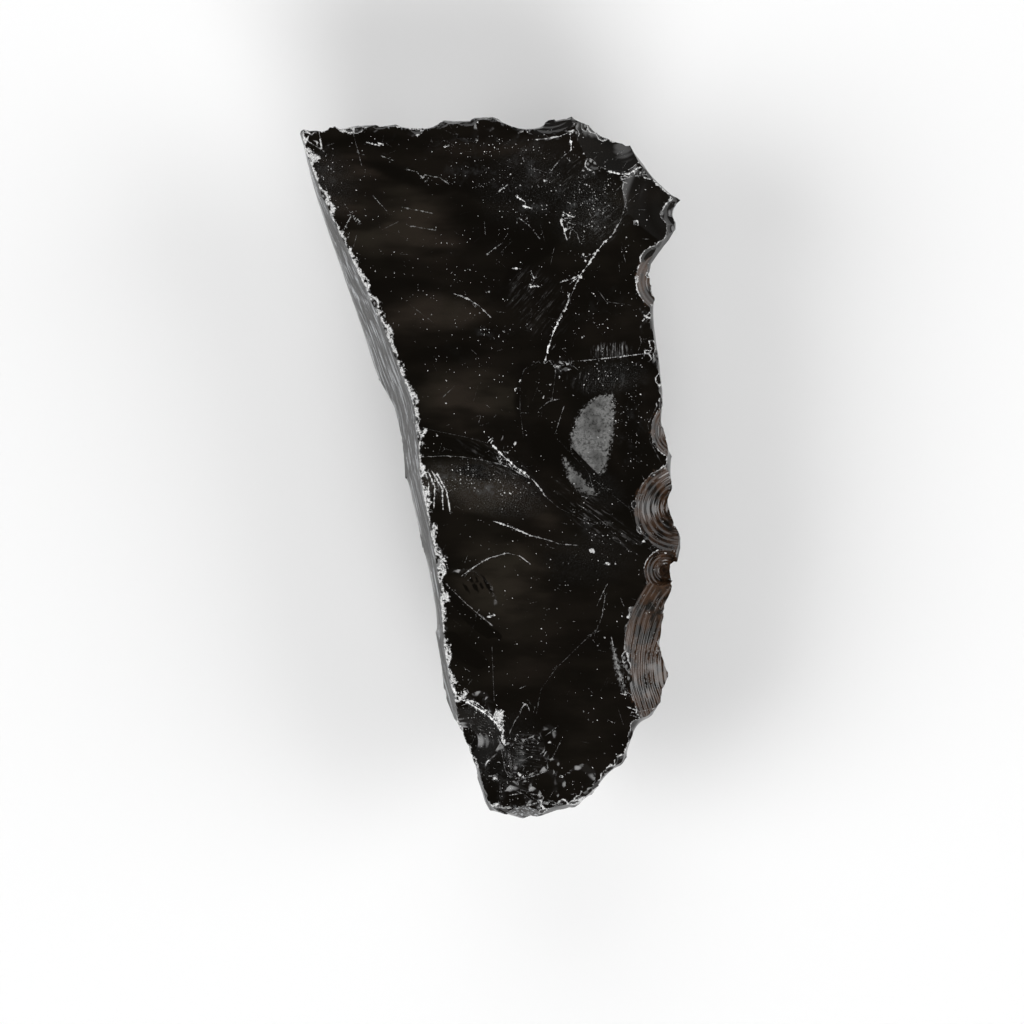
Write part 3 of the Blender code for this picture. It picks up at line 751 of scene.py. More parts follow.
# ---------------------------------------------------------------------------- marks on the glass
# White lines on the front as pixels of the photograph: how bright each is, and its points.
MARKS = {
    "arris_top": (0.6, [(623, 184), (622, 190), (626, 202), (624, 210), (620, 222), (611, 237)]),
    "arris_middle": (
        0.85,
        [(611, 237), (604, 243), (596, 253), (589, 264), (581, 274), (576, 284), (570, 298)],
    ),
    "arris_low": (1.0, [(570, 298), (562, 315), (554, 331), (549, 345), (545, 361)]),
    "arris_branch": (0.8, [(580, 275), (573, 279), (563, 282)]),
    "arris_side": (0.45, [(574, 290), (566, 306), (557, 322)]),
    "arris_end": (0.6, [(551, 363), (555, 368)]),
    # A painted highlight: the bright curve along the ridge below the corner scar, drawn as a white line.
    "painted_highlight_by_corner": (1.0, [(610, 173), (620, 175), (628, 175), (637, 169), (644, 165)]),
    "ridge_by_corner_2": (0.6, [(623, 180), (632, 177), (647, 174)]),
    "corner_tick": (0.6, [(654, 181), (658, 185)]),
    "corner_tick_2": (0.5, [(661, 185), (665, 190)]),
    "scallop_ridge": (0.85, [(538, 140), (549, 139), (560, 137), (571, 132)]),
    "scallop_streak": (1.0, [(570, 136), (571, 144), (571, 151)]),
    "scallop_chain": (0.5, [(571, 151), (562, 158), (556, 165), (551, 172)]),
    "scallop_loop": (0.4, [(533, 169), (540, 171), (549, 174), (551, 172)]),
    "dab_1": (1.0, [(518, 198), (523, 201)]),
    "dab_2": (1.0, [(525, 207), (529, 208)]),
    "dab_3": (1.0, [(565, 214), (573, 218)]),
    "dab_4": (0.9, [(515, 269), (518, 269)]),
    "dab_5": (1.0, [(532, 274), (534, 279)]),
    "dab_6": (1.0, [(531, 287), (537, 287)]),
    "dab_7": (1.0, [(584, 257), (585, 260)]),
    "dab_8": (0.8, [(501, 190), (505, 187)]),
    "dab_9": (1.0, [(488, 442), (490, 440)]),
    "wisp_1": (0.9, [(561, 222), (564, 230), (566, 238)]),
    "wisp_2": (0.6, [(566, 222), (573, 225)]),
    "wisp_3": (0.5, [(571, 229), (577, 234), (579, 241)]),
    "wisp_4": (0.5, [(521, 220), (529, 226), (538, 237)]),
    "wisp_5": (0.6, [(500, 245), (494, 249), (489, 253)]),
    "wisp_6": (0.4, [(590, 215), (594, 224), (602, 232)]),
    "wisp_7": (0.35, [(588, 205), (597, 200), (604, 208)]),
    "cross_arris": (0.5, [(562, 362), (582, 361), (600, 359)]),
    "cross_arris_bright": (0.7, [(600, 359), (618, 357), (642, 354), (660, 351)]),
    "short_ridge": (0.7, [(557, 367), (572, 363)]),
    "lobe_left": (0.3, [(536, 363), (524, 370), (520, 383), (520, 410), (523, 435)]),
    "lobe_right": (0.3, [(556, 369), (552, 399)]),
    "lobe_arc": (0.4, [(541, 408), (548, 402), (556, 400)]),
    "lobe_scratch": (0.45, [(563, 409), (556, 431)]),
    "lower_arris_white": (1.0, [(493, 446), (504, 457), (517, 468), (530, 477)]),
    "lower_arris_low": (0.8, [(530, 477), (539, 487), (546, 497)]),
    "lower_arris_side": (0.6, [(499, 464), (512, 469), (524, 476), (533, 480)]),
    "lower_arris_faint": (0.3, [(420, 428), (440, 432), (465, 437), (487, 443)]),
    "lower_arris_soft": (0.3, [(547, 498), (559, 508), (575, 516), (590, 524), (606, 524)]),
    "facet_edge": (0.45, [(424, 457), (445, 456), (462, 457), (482, 460), (499, 464)]),
    "groove": (0.28, [(561, 443), (579, 462), (597, 482), (615, 497), (633, 511)]),
    "long_scratch": (0.7, [(457, 295), (468, 299), (479, 306), (489, 316)]),
    "tick_1": (0.5, [(375, 198), (385, 209)]),
    "tick_2": (0.5, [(405, 208), (430, 213)]),
    "tick_3": (0.45, [(410, 226), (433, 230)]),
    "tick_4": (0.4, [(384, 229), (396, 223)]),
    "tick_5": (0.4, [(354, 136), (361, 163)]),
    "tick_6": (0.35, [(413, 307), (431, 321)]),
    "corner_line": (0.8, [(304, 127), (318, 125), (322, 150)]),
    "thin_arc": (0.35, [(598, 291), (606, 302), (628, 305)]),
    "long_line": (0.3, [(602, 616), (598, 628), (580, 645), (555, 670), (541, 690), (537, 712)]),
    "long_line_top": (0.45, [(605, 596), (602, 616), (594, 634)]),
    "low_arc_1": (0.65, [(463, 575), (474, 567), (489, 558), (507, 553), (520, 556), (529, 563)]),
    "low_arc_2": (0.85, [(496, 522), (508, 526), (520, 531), (532, 536)]),
    "low_arc_2_end": (0.5, [(532, 536), (545, 539), (560, 544), (575, 545)]),
    "low_arc_3": (0.35, [(579, 505), (594, 515), (605, 524), (628, 550)]),
    "lens_line": (0.5, [(448, 586), (466, 604), (490, 624)]),
    "side_of_scar": (0.6, [(612, 640), (615, 655), (619, 672), (626, 694)]),
    "side_of_scar_top": (0.5, [(598, 603), (603, 592), (606, 586)]),
    "corner_line_2": (0.6, [(304, 136), (309, 142), (322, 150)]),
    "left_dab": (0.6, [(345, 228), (352, 214), (360, 222)]),
    "left_dab_2": (0.5, [(346, 206), (356, 222)]),
    "top_dab": (0.9, [(369, 143), (377, 145)]),
    "top_dab_2": (0.6, [(409, 170), (417, 172), (424, 180)]),
    "top_dab_3": (0.5, [(425, 175), (440, 178), (447, 183)]),
    "top_dab_4": (0.5, [(384, 157), (392, 160)]),
    "heel_top": (1.0, [(446, 676), (453, 690), (460, 700), (471, 706), (482, 712), (494, 722), (500, 731)]),
    "heel_tail": (0.6, [(520, 712), (526, 703), (529, 710)]),
    "heel_tail_2": (0.4, [(510, 733), (515, 722), (522, 712)]),
    "heel_arc": (0.5, [(524, 741), (532, 738), (540, 744)]),
    "heel_spray": (0.4, [(548, 735), (558, 727)]),
    "heel_spray_2": (0.4, [(552, 760), (560, 744)]),
    "block_top": (0.4, [(516, 742), (524, 745), (532, 744)]),
    "block_mid": (0.4, [(515, 763), (523, 762), (530, 758)]),
    "block_low": (0.5, [(515, 780), (524, 779), (534, 774)]),
    "band_left": (0.38, [(499, 742), (502, 755), (505, 772), (509, 778)]),
    "band_right": (0.35, [(508, 744), (511, 760), (512, 776)]),
    "foot_row": (0.5, [(512, 797), (524, 795), (540, 797)]),
    "foot_row_2": (0.6, [(490, 808), (506, 811), (524, 808), (543, 803), (562, 806)]),
    "heel_ridge": (0.85, [(464, 701), (476, 703), (485, 711), (496, 720), (503, 734)]),
    "heel_ridge_low": (0.35, [(503, 734), (508, 752), (511, 776)]),
    "foot_ridge": (0.5, [(519, 782), (532, 778), (546, 773)]),
    "foot_line": (0.5, [(487, 806), (517, 811), (540, 805), (566, 808)]),
    "dots": (0.3, [(492, 650), (494, 700)]),
    "shelf_line": (0.7, [(630, 708), (640, 712), (660, 708)]),
    "shelf_line_2": (0.45, [(633, 716), (645, 720), (659, 715)]),
    "crescent": (0.35, [(657, 406), (648, 424), (650, 441), (660, 460)]),
    "patch_edge": (0.4, [(571, 452), (571, 436), (576, 419), (585, 405), (597, 396), (612, 395)]),
}
# The fan of short thick strokes below the heel of the lower arris: each one's two ends, as pixels.
FAN = [
    [(424, 470), (429, 482), (428, 497)], [(429, 473), (435, 487), (434, 505)],
    [(433, 473), (442, 488), (443, 507)], [(438, 475), (447, 492), (450, 511)],
    [(424, 488), (429, 502), (429, 514)],
]
FAN_BRIGHT = 0.85
SCRATCHES, SCRATCH_SEED, SCRATCH_LENGTH, SCRATCH_SHADES = 1100, 17, (0.3, 2.6), (0.15, 0.7)
LINE_REACH = 1.6  # a line isn't looked for further away than this
FACING_UP = 0.45  # the front's marks are drawn where the surface's normal rises more than this


def segments_of(path, bright=1.0):
    """A line given as pixels of the photograph, as flat segments: two ends, the way up, how bright."""
    places = [np.array((*at(*pixel), 0.0)) for pixel in path]
    return [(a, b, UP, bright) for a, b in zip(places, places[1:])]


def mark_segments():
    """The front's marks, and the first set of the fan's strokes."""
    found = [segment for bright, path in MARKS.values() for segment in segments_of(path, bright)]
    return found + fan_segments(FAN[::2])


def fan_segments(strokes):
    """Strokes that lie close to each other are kept in two sets, so that none is its neighbour's."""
    return [segment for path in strokes for segment in segments_of(path, FAN_BRIGHT)]


def scratch_segments(points, way):
    """Short straight scratches all over the lump, from random points of its surface."""
    rng = np.random.default_rng(SCRATCH_SEED)
    found = []
    for row in rng.integers(0, len(points), SCRATCHES):
        turn = unit(np.cross(way[row], rng.normal(size=3)))
        length = SCRATCH_LENGTH[0] + (SCRATCH_LENGTH[1] - SCRATCH_LENGTH[0]) * rng.uniform() ** 3
        found.append((points[row], points[row] + turn * length, way[row], rng.uniform(*SCRATCH_SHADES)))
    return found


def lines_on(points, segments):
    """For each point, the nearest segment: how far the point is to its side, how far off, how bright."""
    side, off = np.full(len(points), LINE_REACH), np.full(len(points), LINE_REACH)
    bright = np.zeros(len(points))
    for a, b, up, strength in segments:
        middle, reach = (a + b) / 2, np.abs(b - a) / 2 + LINE_REACH
        index = np.flatnonzero((np.abs(points - middle) < reach).all(axis=1))
        if not len(index):
            continue
        length = np.linalg.norm(b - a)
        run = (b - a) / length
        away = points[index] - a
        along = np.clip(away @ run, 0.0, length)
        gap = np.linalg.norm(away - along[:, None] * run, axis=1)
        nearer = gap < off[index]
        spot = index[nearer]
        off[spot] = gap[nearer]
        side[spot] = away[nearer] @ np.cross(up, run)
        bright[spot] = strength
    return side, off, bright


# Soft ovals on the front, as pixels: middle, half width and half height, turn in degrees, strength.
SOFT_BROWN = [
    ((395, 220), (90, 52), -12, 1.0), ((478, 488), (78, 36), -12, 0.95), ((345, 170), (50, 22), -10, 0.7),
    ((430, 315), (90, 26), 6, 0.8), ((470, 400), (70, 42), 0, 1.0), ((538, 392), (22, 36), 0, 0.3),
    ((532, 506), (42, 22), -20, 0.7), ((620, 195), (22, 18), 0, 0.7), ((610, 300), (60, 60), 0, 0.35),
    ((505, 580), (70, 60), 20, 0.9), ((520, 650), (90, 70), 0, 0.38), ((575, 730), (60, 90), 0, 0.32),
    ((460, 150), (120, 14), 0, 0.45), ((530, 440), (30, 30), 0, 0.35),
]
SOFT_BLACK = [
    ((365, 142), (70, 9), -4, 0.9), ((392, 172), (60, 7), -12, 0.9), ((470, 190), (60, 8), -6, 0.9),
    ((528, 262), (62, 11), 46, 1.0), ((448, 354), (60, 10), 8, 1.0), ((655, 224), (26, 26), 0, 0.9),
    ((620, 144), (40, 12), -28, 1.0), ((590, 470), (64, 30), -38, 1.0), ((545, 452), (34, 16), -38, 0.8),
    ((420, 252), (70, 6), -3, 0.35), ((400, 288), (66, 7), 2, 0.5), ((490, 220), (60, 16), -20, 0.7),
    ((640, 500), (26, 50), 0, 1.0), ((470, 470), (24, 5), -10, 1.0), ((560, 560), (60, 12), -25, 0.5),
    ((600, 300), (26, 40), 20, 0.4), ((632, 770), (18, 46), 20, 0.6), ((522, 238), (40, 26), 30, 0.8),
    ((610, 372), (50, 12), 0, 0.7), ((590, 395), (30, 36), 0, 0.7), ((505, 190), (60, 16), -10, 0.8),
    ((500, 760), (50, 50), 0, 0.7), ((518, 392), (7, 34), 0, 0.9),
    ((560, 330), (24, 40), -20, 0.6), ((630, 430), (16, 70), 0, 0.8), ((440, 540), (14, 60), 8, 0.3),
]
DUST = [
    ((480, 480), (62, 22), -20, 0.9), ((592, 205), (26, 44), -28, 1.0), ((500, 165), (100, 36), 0, 0.55),
    ((540, 200), (50, 30), 0, 0.6), ((328, 172), (22, 36), 20, 0.5), ((505, 762), (42, 50), 0, 0.7),
    ((600, 530), (52, 18), -38, 0.55), ((628, 420), (28, 62), 0, 0.5), ((612, 365), (34, 22), 0, 0.7),
    ((489, 330), (14, 8), 20, 1.0), ((440, 480), (24, 26), 0, 0.7), ((480, 722), (22, 14), -30, 0.9),
    ((470, 300), (100, 120), 0, 0.16), ((600, 300), (50, 60), 0, 0.25), ((520, 620), (80, 90), 0, 0.1),
]
GRAIN = [
    ((485, 487), (68, 30), -14, 1.0), ((440, 480), (26, 24), 0, 0.8), ((585, 210), (48, 44), 0, 0.7),
    ((530, 185), (60, 50), 0, 0.45), ((612, 376), (36, 20), 0, 0.7), ((600, 485), (40, 20), -40, 0.4),
    ((330, 180), (24, 40), 20, 0.6), ((590, 560), (50, 34), 0, 0.35), ((505, 750), (40, 44), 0, 0.35),
]
TONE_FROM, DUST_FROM, REAR_TONE, REAR_DUST = 0.24, 0.08, 0.22, 0.3
# Fine parallel streaks on the front: their turn in degrees, how bright, and the ovals they fill.
STREAKS = {
    "comb": (90, 0.60, [((612, 350), (24, 7), 0, 1.0)]),
    "hollow": (86, 0.09, [((600, 376), (34, 14), 0, 1.0)]),
    "hackle": (50, 0.055, [((538, 302), (30, 40), 34, 1.0)]),
    "smear": (40, 0.055, [((606, 222), (34, 22), 40, 1.0), ((560, 180), (40, 20), 20, 0.7)]),
    "arris_side": (-34, 0.075, [((600, 520), (60, 18), -38, 1.0), ((500, 465), (60, 12), -30, 0.8)]),
    "foot": (-8, 0.13, [((524, 756), (20, 24), 0, 1.0), ((486, 735), (18, 24), 0, 0.6)]),
}
DRAWN_OUT = (9.0, 1.0, 1.0)  # a streak is this many times as long as it is wide
# Shapes with a crisp edge on the front, as pixels: black bands, and a grey patch that is a painted
# reflection.
BLACK_SHAPES = [
    [(439, 572), (446, 581), (453, 592), (463, 603), (474, 613), (484, 620), (491, 628), (498, 631),
     (503, 637), (500, 641), (495, 637), (489, 640), (478, 633), (466, 623), (455, 609), (446, 593)],
    [(443, 633), (453, 631), (462, 639), (471, 647), (480, 654), (487, 659), (491, 666), (485, 667),
     (480, 671), (471, 667), (461, 662), (450, 652)],
    [(420, 431), (427, 453), (467, 455), (510, 470), (540, 492), (527, 477), (493, 450), (467, 441)],
    [(556, 432), (566, 441), (600, 476), (634, 506), (634, 513), (597, 485), (561, 450)],
    [(461, 582), (464, 581), (469, 590), (472, 599), (466, 592)],
    [(468, 578), (471, 577), (477, 588), (483, 602), (474, 590)],
    [(474, 577), (476, 576), (483, 586), (487, 594), (480, 588)],
    [(480, 574), (482, 573), (489, 584), (495, 597), (486, 587)],
    [(461, 468), (470, 464), (482, 465), (488, 469), (476, 473), (464, 472)],
]
# These shapes bound a painted reflection: a grey sheen painted into the glass's colour.
PAINTED_REFLECTION_SHAPES = [
    [(571, 449), (571, 436), (576, 419), (585, 405), (597, 396), (613, 394), (615, 410), (614, 428),
     (610, 451), (603, 474), (594, 474), (583, 462)],
    [(563, 456), (575, 470), (590, 486), (600, 492), (592, 497), (574, 488), (566, 474)],
    [(611, 640), (617, 655), (622, 672), (628, 695), (623, 692), (615, 670)],
]
LOBE_SHAPE = [
    [(536, 364), (525, 370), (520, 383), (520, 408), (527, 416), (541, 409), (552, 399), (556, 370),
     (548, 364)],
]


def ovals(points, table, rest):
    """The strongest of the soft ovals at each point, with warped edges, and the rest elsewhere."""
    warp = [LOBE_WARP * smooth_noise(points, LOBE_WARP_SIZE, seed) for seed in LOBE_SEEDS]
    total = np.full(len(points), rest)
    for middle, (half_x, half_y), turn, strength in table:
        x, y = at(*middle)
        cos, sin = math.cos(math.radians(turn)), math.sin(math.radians(turn))
        off_x, off_y = points[:, 0] + warp[0] - x, points[:, 1] + warp[1] - y
        across = (cos * off_x + sin * off_y) / (half_x * PIXEL_MM)
        along = (cos * off_y - sin * off_x) / (half_y * PIXEL_MM)
        fade = np.clip(LOBE_EDGE * (1.0 - across**2 - along**2), 0.0, 1.0)
        total = np.maximum(total, strength * fade)
    return total


LOBE_WARP, LOBE_WARP_SIZE, LOBE_SEEDS, LOBE_EDGE = 1.2, 6.0, (31, 32), 1.0


def inside_by(points, shapes):
    """How far inside the nearest of the shapes each point is, in millimetres. Below 0 is outside."""
    x, y = points[:, 0], points[:, 1]
    total = np.full(len(points), -LINE_REACH)
    for shape in shapes:
        corners = np.array([at(*pixel) for pixel in shape])
        gap, inside = np.full(len(points), LINE_REACH), np.zeros(len(points), bool)
        for a, b in zip(corners, np.roll(corners, -1, axis=0)):
            run = b - a
            share = np.clip(((points[:, :2] - a) @ run) / (run @ run), 0.0, 1.0)
            gap = np.minimum(gap, np.linalg.norm(points[:, :2] - a - share[:, None] * run, axis=1))
            if a[1] != b[1]:
                crossed = a[0] + (y - a[1]) / (b[1] - a[1]) * (b[0] - a[0])
                inside ^= ((a[1] > y) != (b[1] > y)) & (x < crossed)
        total = np.maximum(total, np.where(inside, gap, -gap))
    return total


def give(mesh, name, values):
    """Keeps a value for each point of the mesh under this name, for the shader to read."""
    attribute = mesh.attributes.new(name, "FLOAT", "POINT")
    attribute.data.foreach_set("value", np.asarray(values, np.float32))


def make_chunk():
    """The chunk's object, with all that its glass needs to know about each point."""
    points, triangles, names, way, index, power = fine_surface()
    mesh = bpy.data.meshes.new("obsidian")
    mesh.from_pydata((points * MM).tolist(), [], triangles.tolist())
    mesh.validate()
    mesh.shade_smooth()
    mesh.set_sharp_from_angle(angle=math.radians(SHARP_DEG))
    up = way[:, 2]
    face_up = up > FACING_UP
    front = np.flatnonzero(face_up)
    crushed = power > LEAST_CRUSH
    nearest, edge_off = nearest_of(points, points[index[crushed]])
    give(mesh, "edge_off", np.minimum(edge_off, LINE_REACH))
    give(mesh, "edge_power", power[crushed][nearest])
    flat = points[front] * (1.0, 1.0, 0.0)
    for name, segments in (("mark", mark_segments()), ("fan", fan_segments(FAN[1::2]))):
        for kind, values in zip(("side", "off", "bright"), lines_on(flat, segments)):
            whole = np.full(len(points), 0.0 if kind == "bright" else LINE_REACH)
            whole[front] = values
            give(mesh, f"{name}_{kind}", whole)
    for kind, values in zip(("side", "off", "bright"), lines_on(points, scratch_segments(points, way))):
        give(mesh, f"scratch_{kind}", values)
    tone = ovals(points, SOFT_BROWN, TONE_FROM) * (1.0 - ovals(points, SOFT_BLACK, 0.0))
    give(mesh, "tone", np.where(face_up, tone, REAR_TONE))
    give(mesh, "dust", np.where(face_up, ovals(points, DUST, DUST_FROM), 0.0))
    give(mesh, "rear", ~face_up)
    give(mesh, "grain", np.where(face_up, ovals(points, GRAIN, 0.0), 0.0))
    for name, (_, _, middles) in STREAKS.items():
        give(mesh, f"streak_{name}", np.where(face_up, ovals(points, middles, 0.0), 0.0))
    # One of these sets bounds the grey painted reflection.
    for name, shapes in (("band_in", BLACK_SHAPES), ("painted_reflection_in", PAINTED_REFLECTION_SHAPES), ("lobe_in", LOBE_SHAPE)):
        give(mesh, name, np.where(face_up, inside_by(points, shapes), -LINE_REACH))
    left_wall = (names == "blank") & (points[:, 0] < WALL_RIGHT)
    give(mesh, "wall", np.where(left_wall, np.clip((up - WALL_UP) / WALL_FADE, 0.0, 1.0), 0.0))
    give(mesh, "scar", np.isin(names, RIGHT_SCARS))
    chunk = bpy.data.objects.new("obsidian", mesh)
    bpy.context.scene.collection.objects.link(chunk)
    mesh.materials.append(glass())
    return chunk


SHARP_DEG, LEAST_CRUSH = 26.0, 0.12
WALL_RIGHT, WALL_UP, WALL_FADE = 10.0, 0.08, 0.24  # the left wall fades below its upper part


# ------------------------------------------------------------------------------------- material
class Graph:
    """Short ways to add a node tree's nodes and to join them."""

    def __init__(self, tree):
        self.tree = tree

    def put(self, socket, value):
        if isinstance(value, bpy.types.NodeSocket):
            self.tree.links.new(value, socket)
        else:
            socket.default_value = value

    def add(self, kind, inputs, output=0, **settings):
        node = self.tree.nodes.new(kind)
        for name, value in settings.items():
            setattr(node, name, value)
        for name, value in inputs.items():
            self.put(node.inputs[name], value)
        return node.outputs[output]

    def math(self, operation, *values):
        return self.add("ShaderNodeMath", dict(enumerate(values)), operation=operation)

    def times(self, first, second):
        return self.math("MULTIPLY", first, second)

    def most(self, first, second):
        return self.math("MAXIMUM", first, second)

    def held(self, name):
        return self.add("ShaderNodeAttribute", {}, output="Fac", attribute_name=name)

    def step(self, value, low, high, out_low=0.0, out_high=1.0):
        """A smooth step of the value, from out_low at low to out_high at high."""
        inputs = {"Value": value, "From Min": low, "From Max": high, "To Min": out_low, "To Max": out_high}
        return self.add("ShaderNodeMapRange", inputs, interpolation_type="SMOOTHSTEP")

    def noise(self, place, size, detail=3.0, roughness=0.55):
        """Noise from about 0 to 1, with lumps of this size in millimetres."""
        inputs = {"Vector": place, "Scale": 1.0 / (size * MM), "Detail": detail, "Roughness": roughness}
        return self.add("ShaderNodeTexNoise", inputs, output="Fac")

    def blend(self, share, first, second):
        inputs = {"Factor": share, "A": first, "B": second}
        node = self.tree.nodes.new("ShaderNodeMix")
        node.data_type = "RGBA"
        for name, value in inputs.items():
            socket = next(s for s in node.inputs if s.name == name and s.enabled)
            self.put(socket, value)
        return next(s for s in node.outputs if s.enabled)


BLACK, OLIVE = (0.0030, 0.0023, 0.0015, 1.0), (0.0165, 0.0136, 0.0098, 1.0)
UMBER, SCAR_BROWN = (0.0200, 0.0153, 0.0116, 1.0), (0.042, 0.022, 0.012, 1.0)
# The first grey is the colour of a painted reflection, the second the colour of dust.
PAINTED_REFLECTION_GREY, DUST_GREY = (0.150, 0.150, 0.147, 1.0), (0.089, 0.091, 0.092, 1.0)
WALL_GREY, CRUSHED = (0.280, 0.290, 0.300, 1.0), (0.820, 0.820, 0.815, 1.0)
GLASS_IOR = 1.5
WALL_TURN, WALL_DRAWN, BANDS_DRAWN = math.radians(-74), (26.0, 1.0, 1.0), (0.35, 1.0, 1.0)
CRUSH_WIDTH, MARK_WIDTH, SCRATCH_WIDTH, SCRATCH_BRIGHT = 1.05, 0.30, 0.10, 0.8
CRUSH_BUMP, BUMP_STRENGTH, RAGGED, TORN = 0.15, 0.6, 0.06, 0.6
LOBE_TONE, GRAIN_SHARE = 0.2, 0.45
WHITE_ROUGH, DUST_ROUGH, PAINTED_REFLECTION_ROUGH = 0.6, 0.4, 0.3
# The noises: the size of their lumps in millimetres, then detail and roughness where they differ.
COARSE, ROUGH, FINE = (14.0,), (0.6, 5.0, 0.75), (0.2, 4.0, 0.7)
BANDS_NOISE, SCAR_NOISE, SMUDGE_NOISE, PAINTED_REFLECTION_NOISE = (6.0, 3.0), (2.5,), (3.5, 8.0, 0.72), (3.5,)
GROOVE_NOISE, LUMP_NOISE, SWELL_NOISE = (0.6, 3.0, 0.6), (3.2, 2.0), (1.1, 2.0)
SMEAR_NOISE, BROKEN_NOISE, STREAK_NOISE = (6.0, 5.0), (1.7, 4.0, 0.6), (0.42, 4.0, 0.7)
CLUMP_NOISE, SPECK_WARP_NOISE = (3.2, 3.0), (0.5, 2.0)
# The smooth steps: from where to where, and what they give at each end where that isn't 0 and 1.
BROWN_STEP, BANDS_STEP, MOTTLE_STEP = (0.35, 0.62), (0.30, 0.66, 0.35, 1.25), (0.30, 0.56, 0.15, 1.0)
SMUDGE_STEP, GRAIN_STEP, PAINTED_REFLECTION_STEP = (0.50, 0.74), (0.48, 0.66), (0.3, 0.6, 0.45, 1.0)
STREAK_STEP, BROKEN_STEP = (0.50, 0.66), (0.42, 0.60, 0.12, 1.0)
CRUSH_STEP, LUMP_STEP, CRUSH_GRAIN = (0.34, 0.74), (0.28, 0.70, 0.12, 1.0), (0.36, 0.60, 0.25, 1.0)
SWELL_STEP, SMEAR_STEP = (0.34, 0.66, 0.30, 1.55), (0.42, 0.75, 0.02, 0.10)
LINE_STEP, RAGGED_STEP, TORN_STEP = (0.34, 0.70), (0.30, 0.70, -RAGGED, RAGGED), (0.30, 0.70, -TORN, TORN)
CLUMP_STEP, SPECK_SIZES, SPECK_SHINE = (0.40, 0.62, 0.10, 1.6), (0.0, 1.0, 0.3, 1.0), (0.0, 1.0, 0.08, 1.0)
# These steps are of a distance in millimetres, and a speck's edge is in shares of its cell.
CRISP_EDGE, LOBE_FADE, TORN_EDGE, CRUSH_EDGE = (-0.06, 0.14), (-0.05, 0.15), (-0.1, 0.5), (-0.03, 0.10)
LINE_EDGE, LINE_END, SPECK_EDGE = (0.0, 0.07), (0.35, 0.75, 1.0, 0.0), (-0.01, 0.05)
# The cell and the largest radius of a speck in millimetres, and the share of cells with one.
REAR_SPECKS = (1.6, 0.26, 0.5)
SPECKS = ((0.5, 0.075, 0.55), (0.9, 0.115, 0.50), (2.0, 0.16, 0.42), (5.0, 0.26, 0.35))
SPECK_WARP = 0.5


def line_share(graph, name, rough, fine, width):
    """How white a place is from the lines kept under this name, which the noise breaks up."""
    off = graph.math("ABSOLUTE", graph.held(f"{name}_side"))
    bright = graph.held(f"{name}_bright")
    half = graph.times(graph.times(graph.step(rough, *LINE_STEP), bright), width)
    ragged = graph.step(fine, *RAGGED_STEP)
    on = graph.step(graph.math("ADD", graph.math("SUBTRACT", half, off), ragged), *LINE_EDGE)
    on = graph.times(on, graph.step(graph.held(f"{name}_off"), *LINE_END))
    return graph.times(on, graph.times(bright, bright))


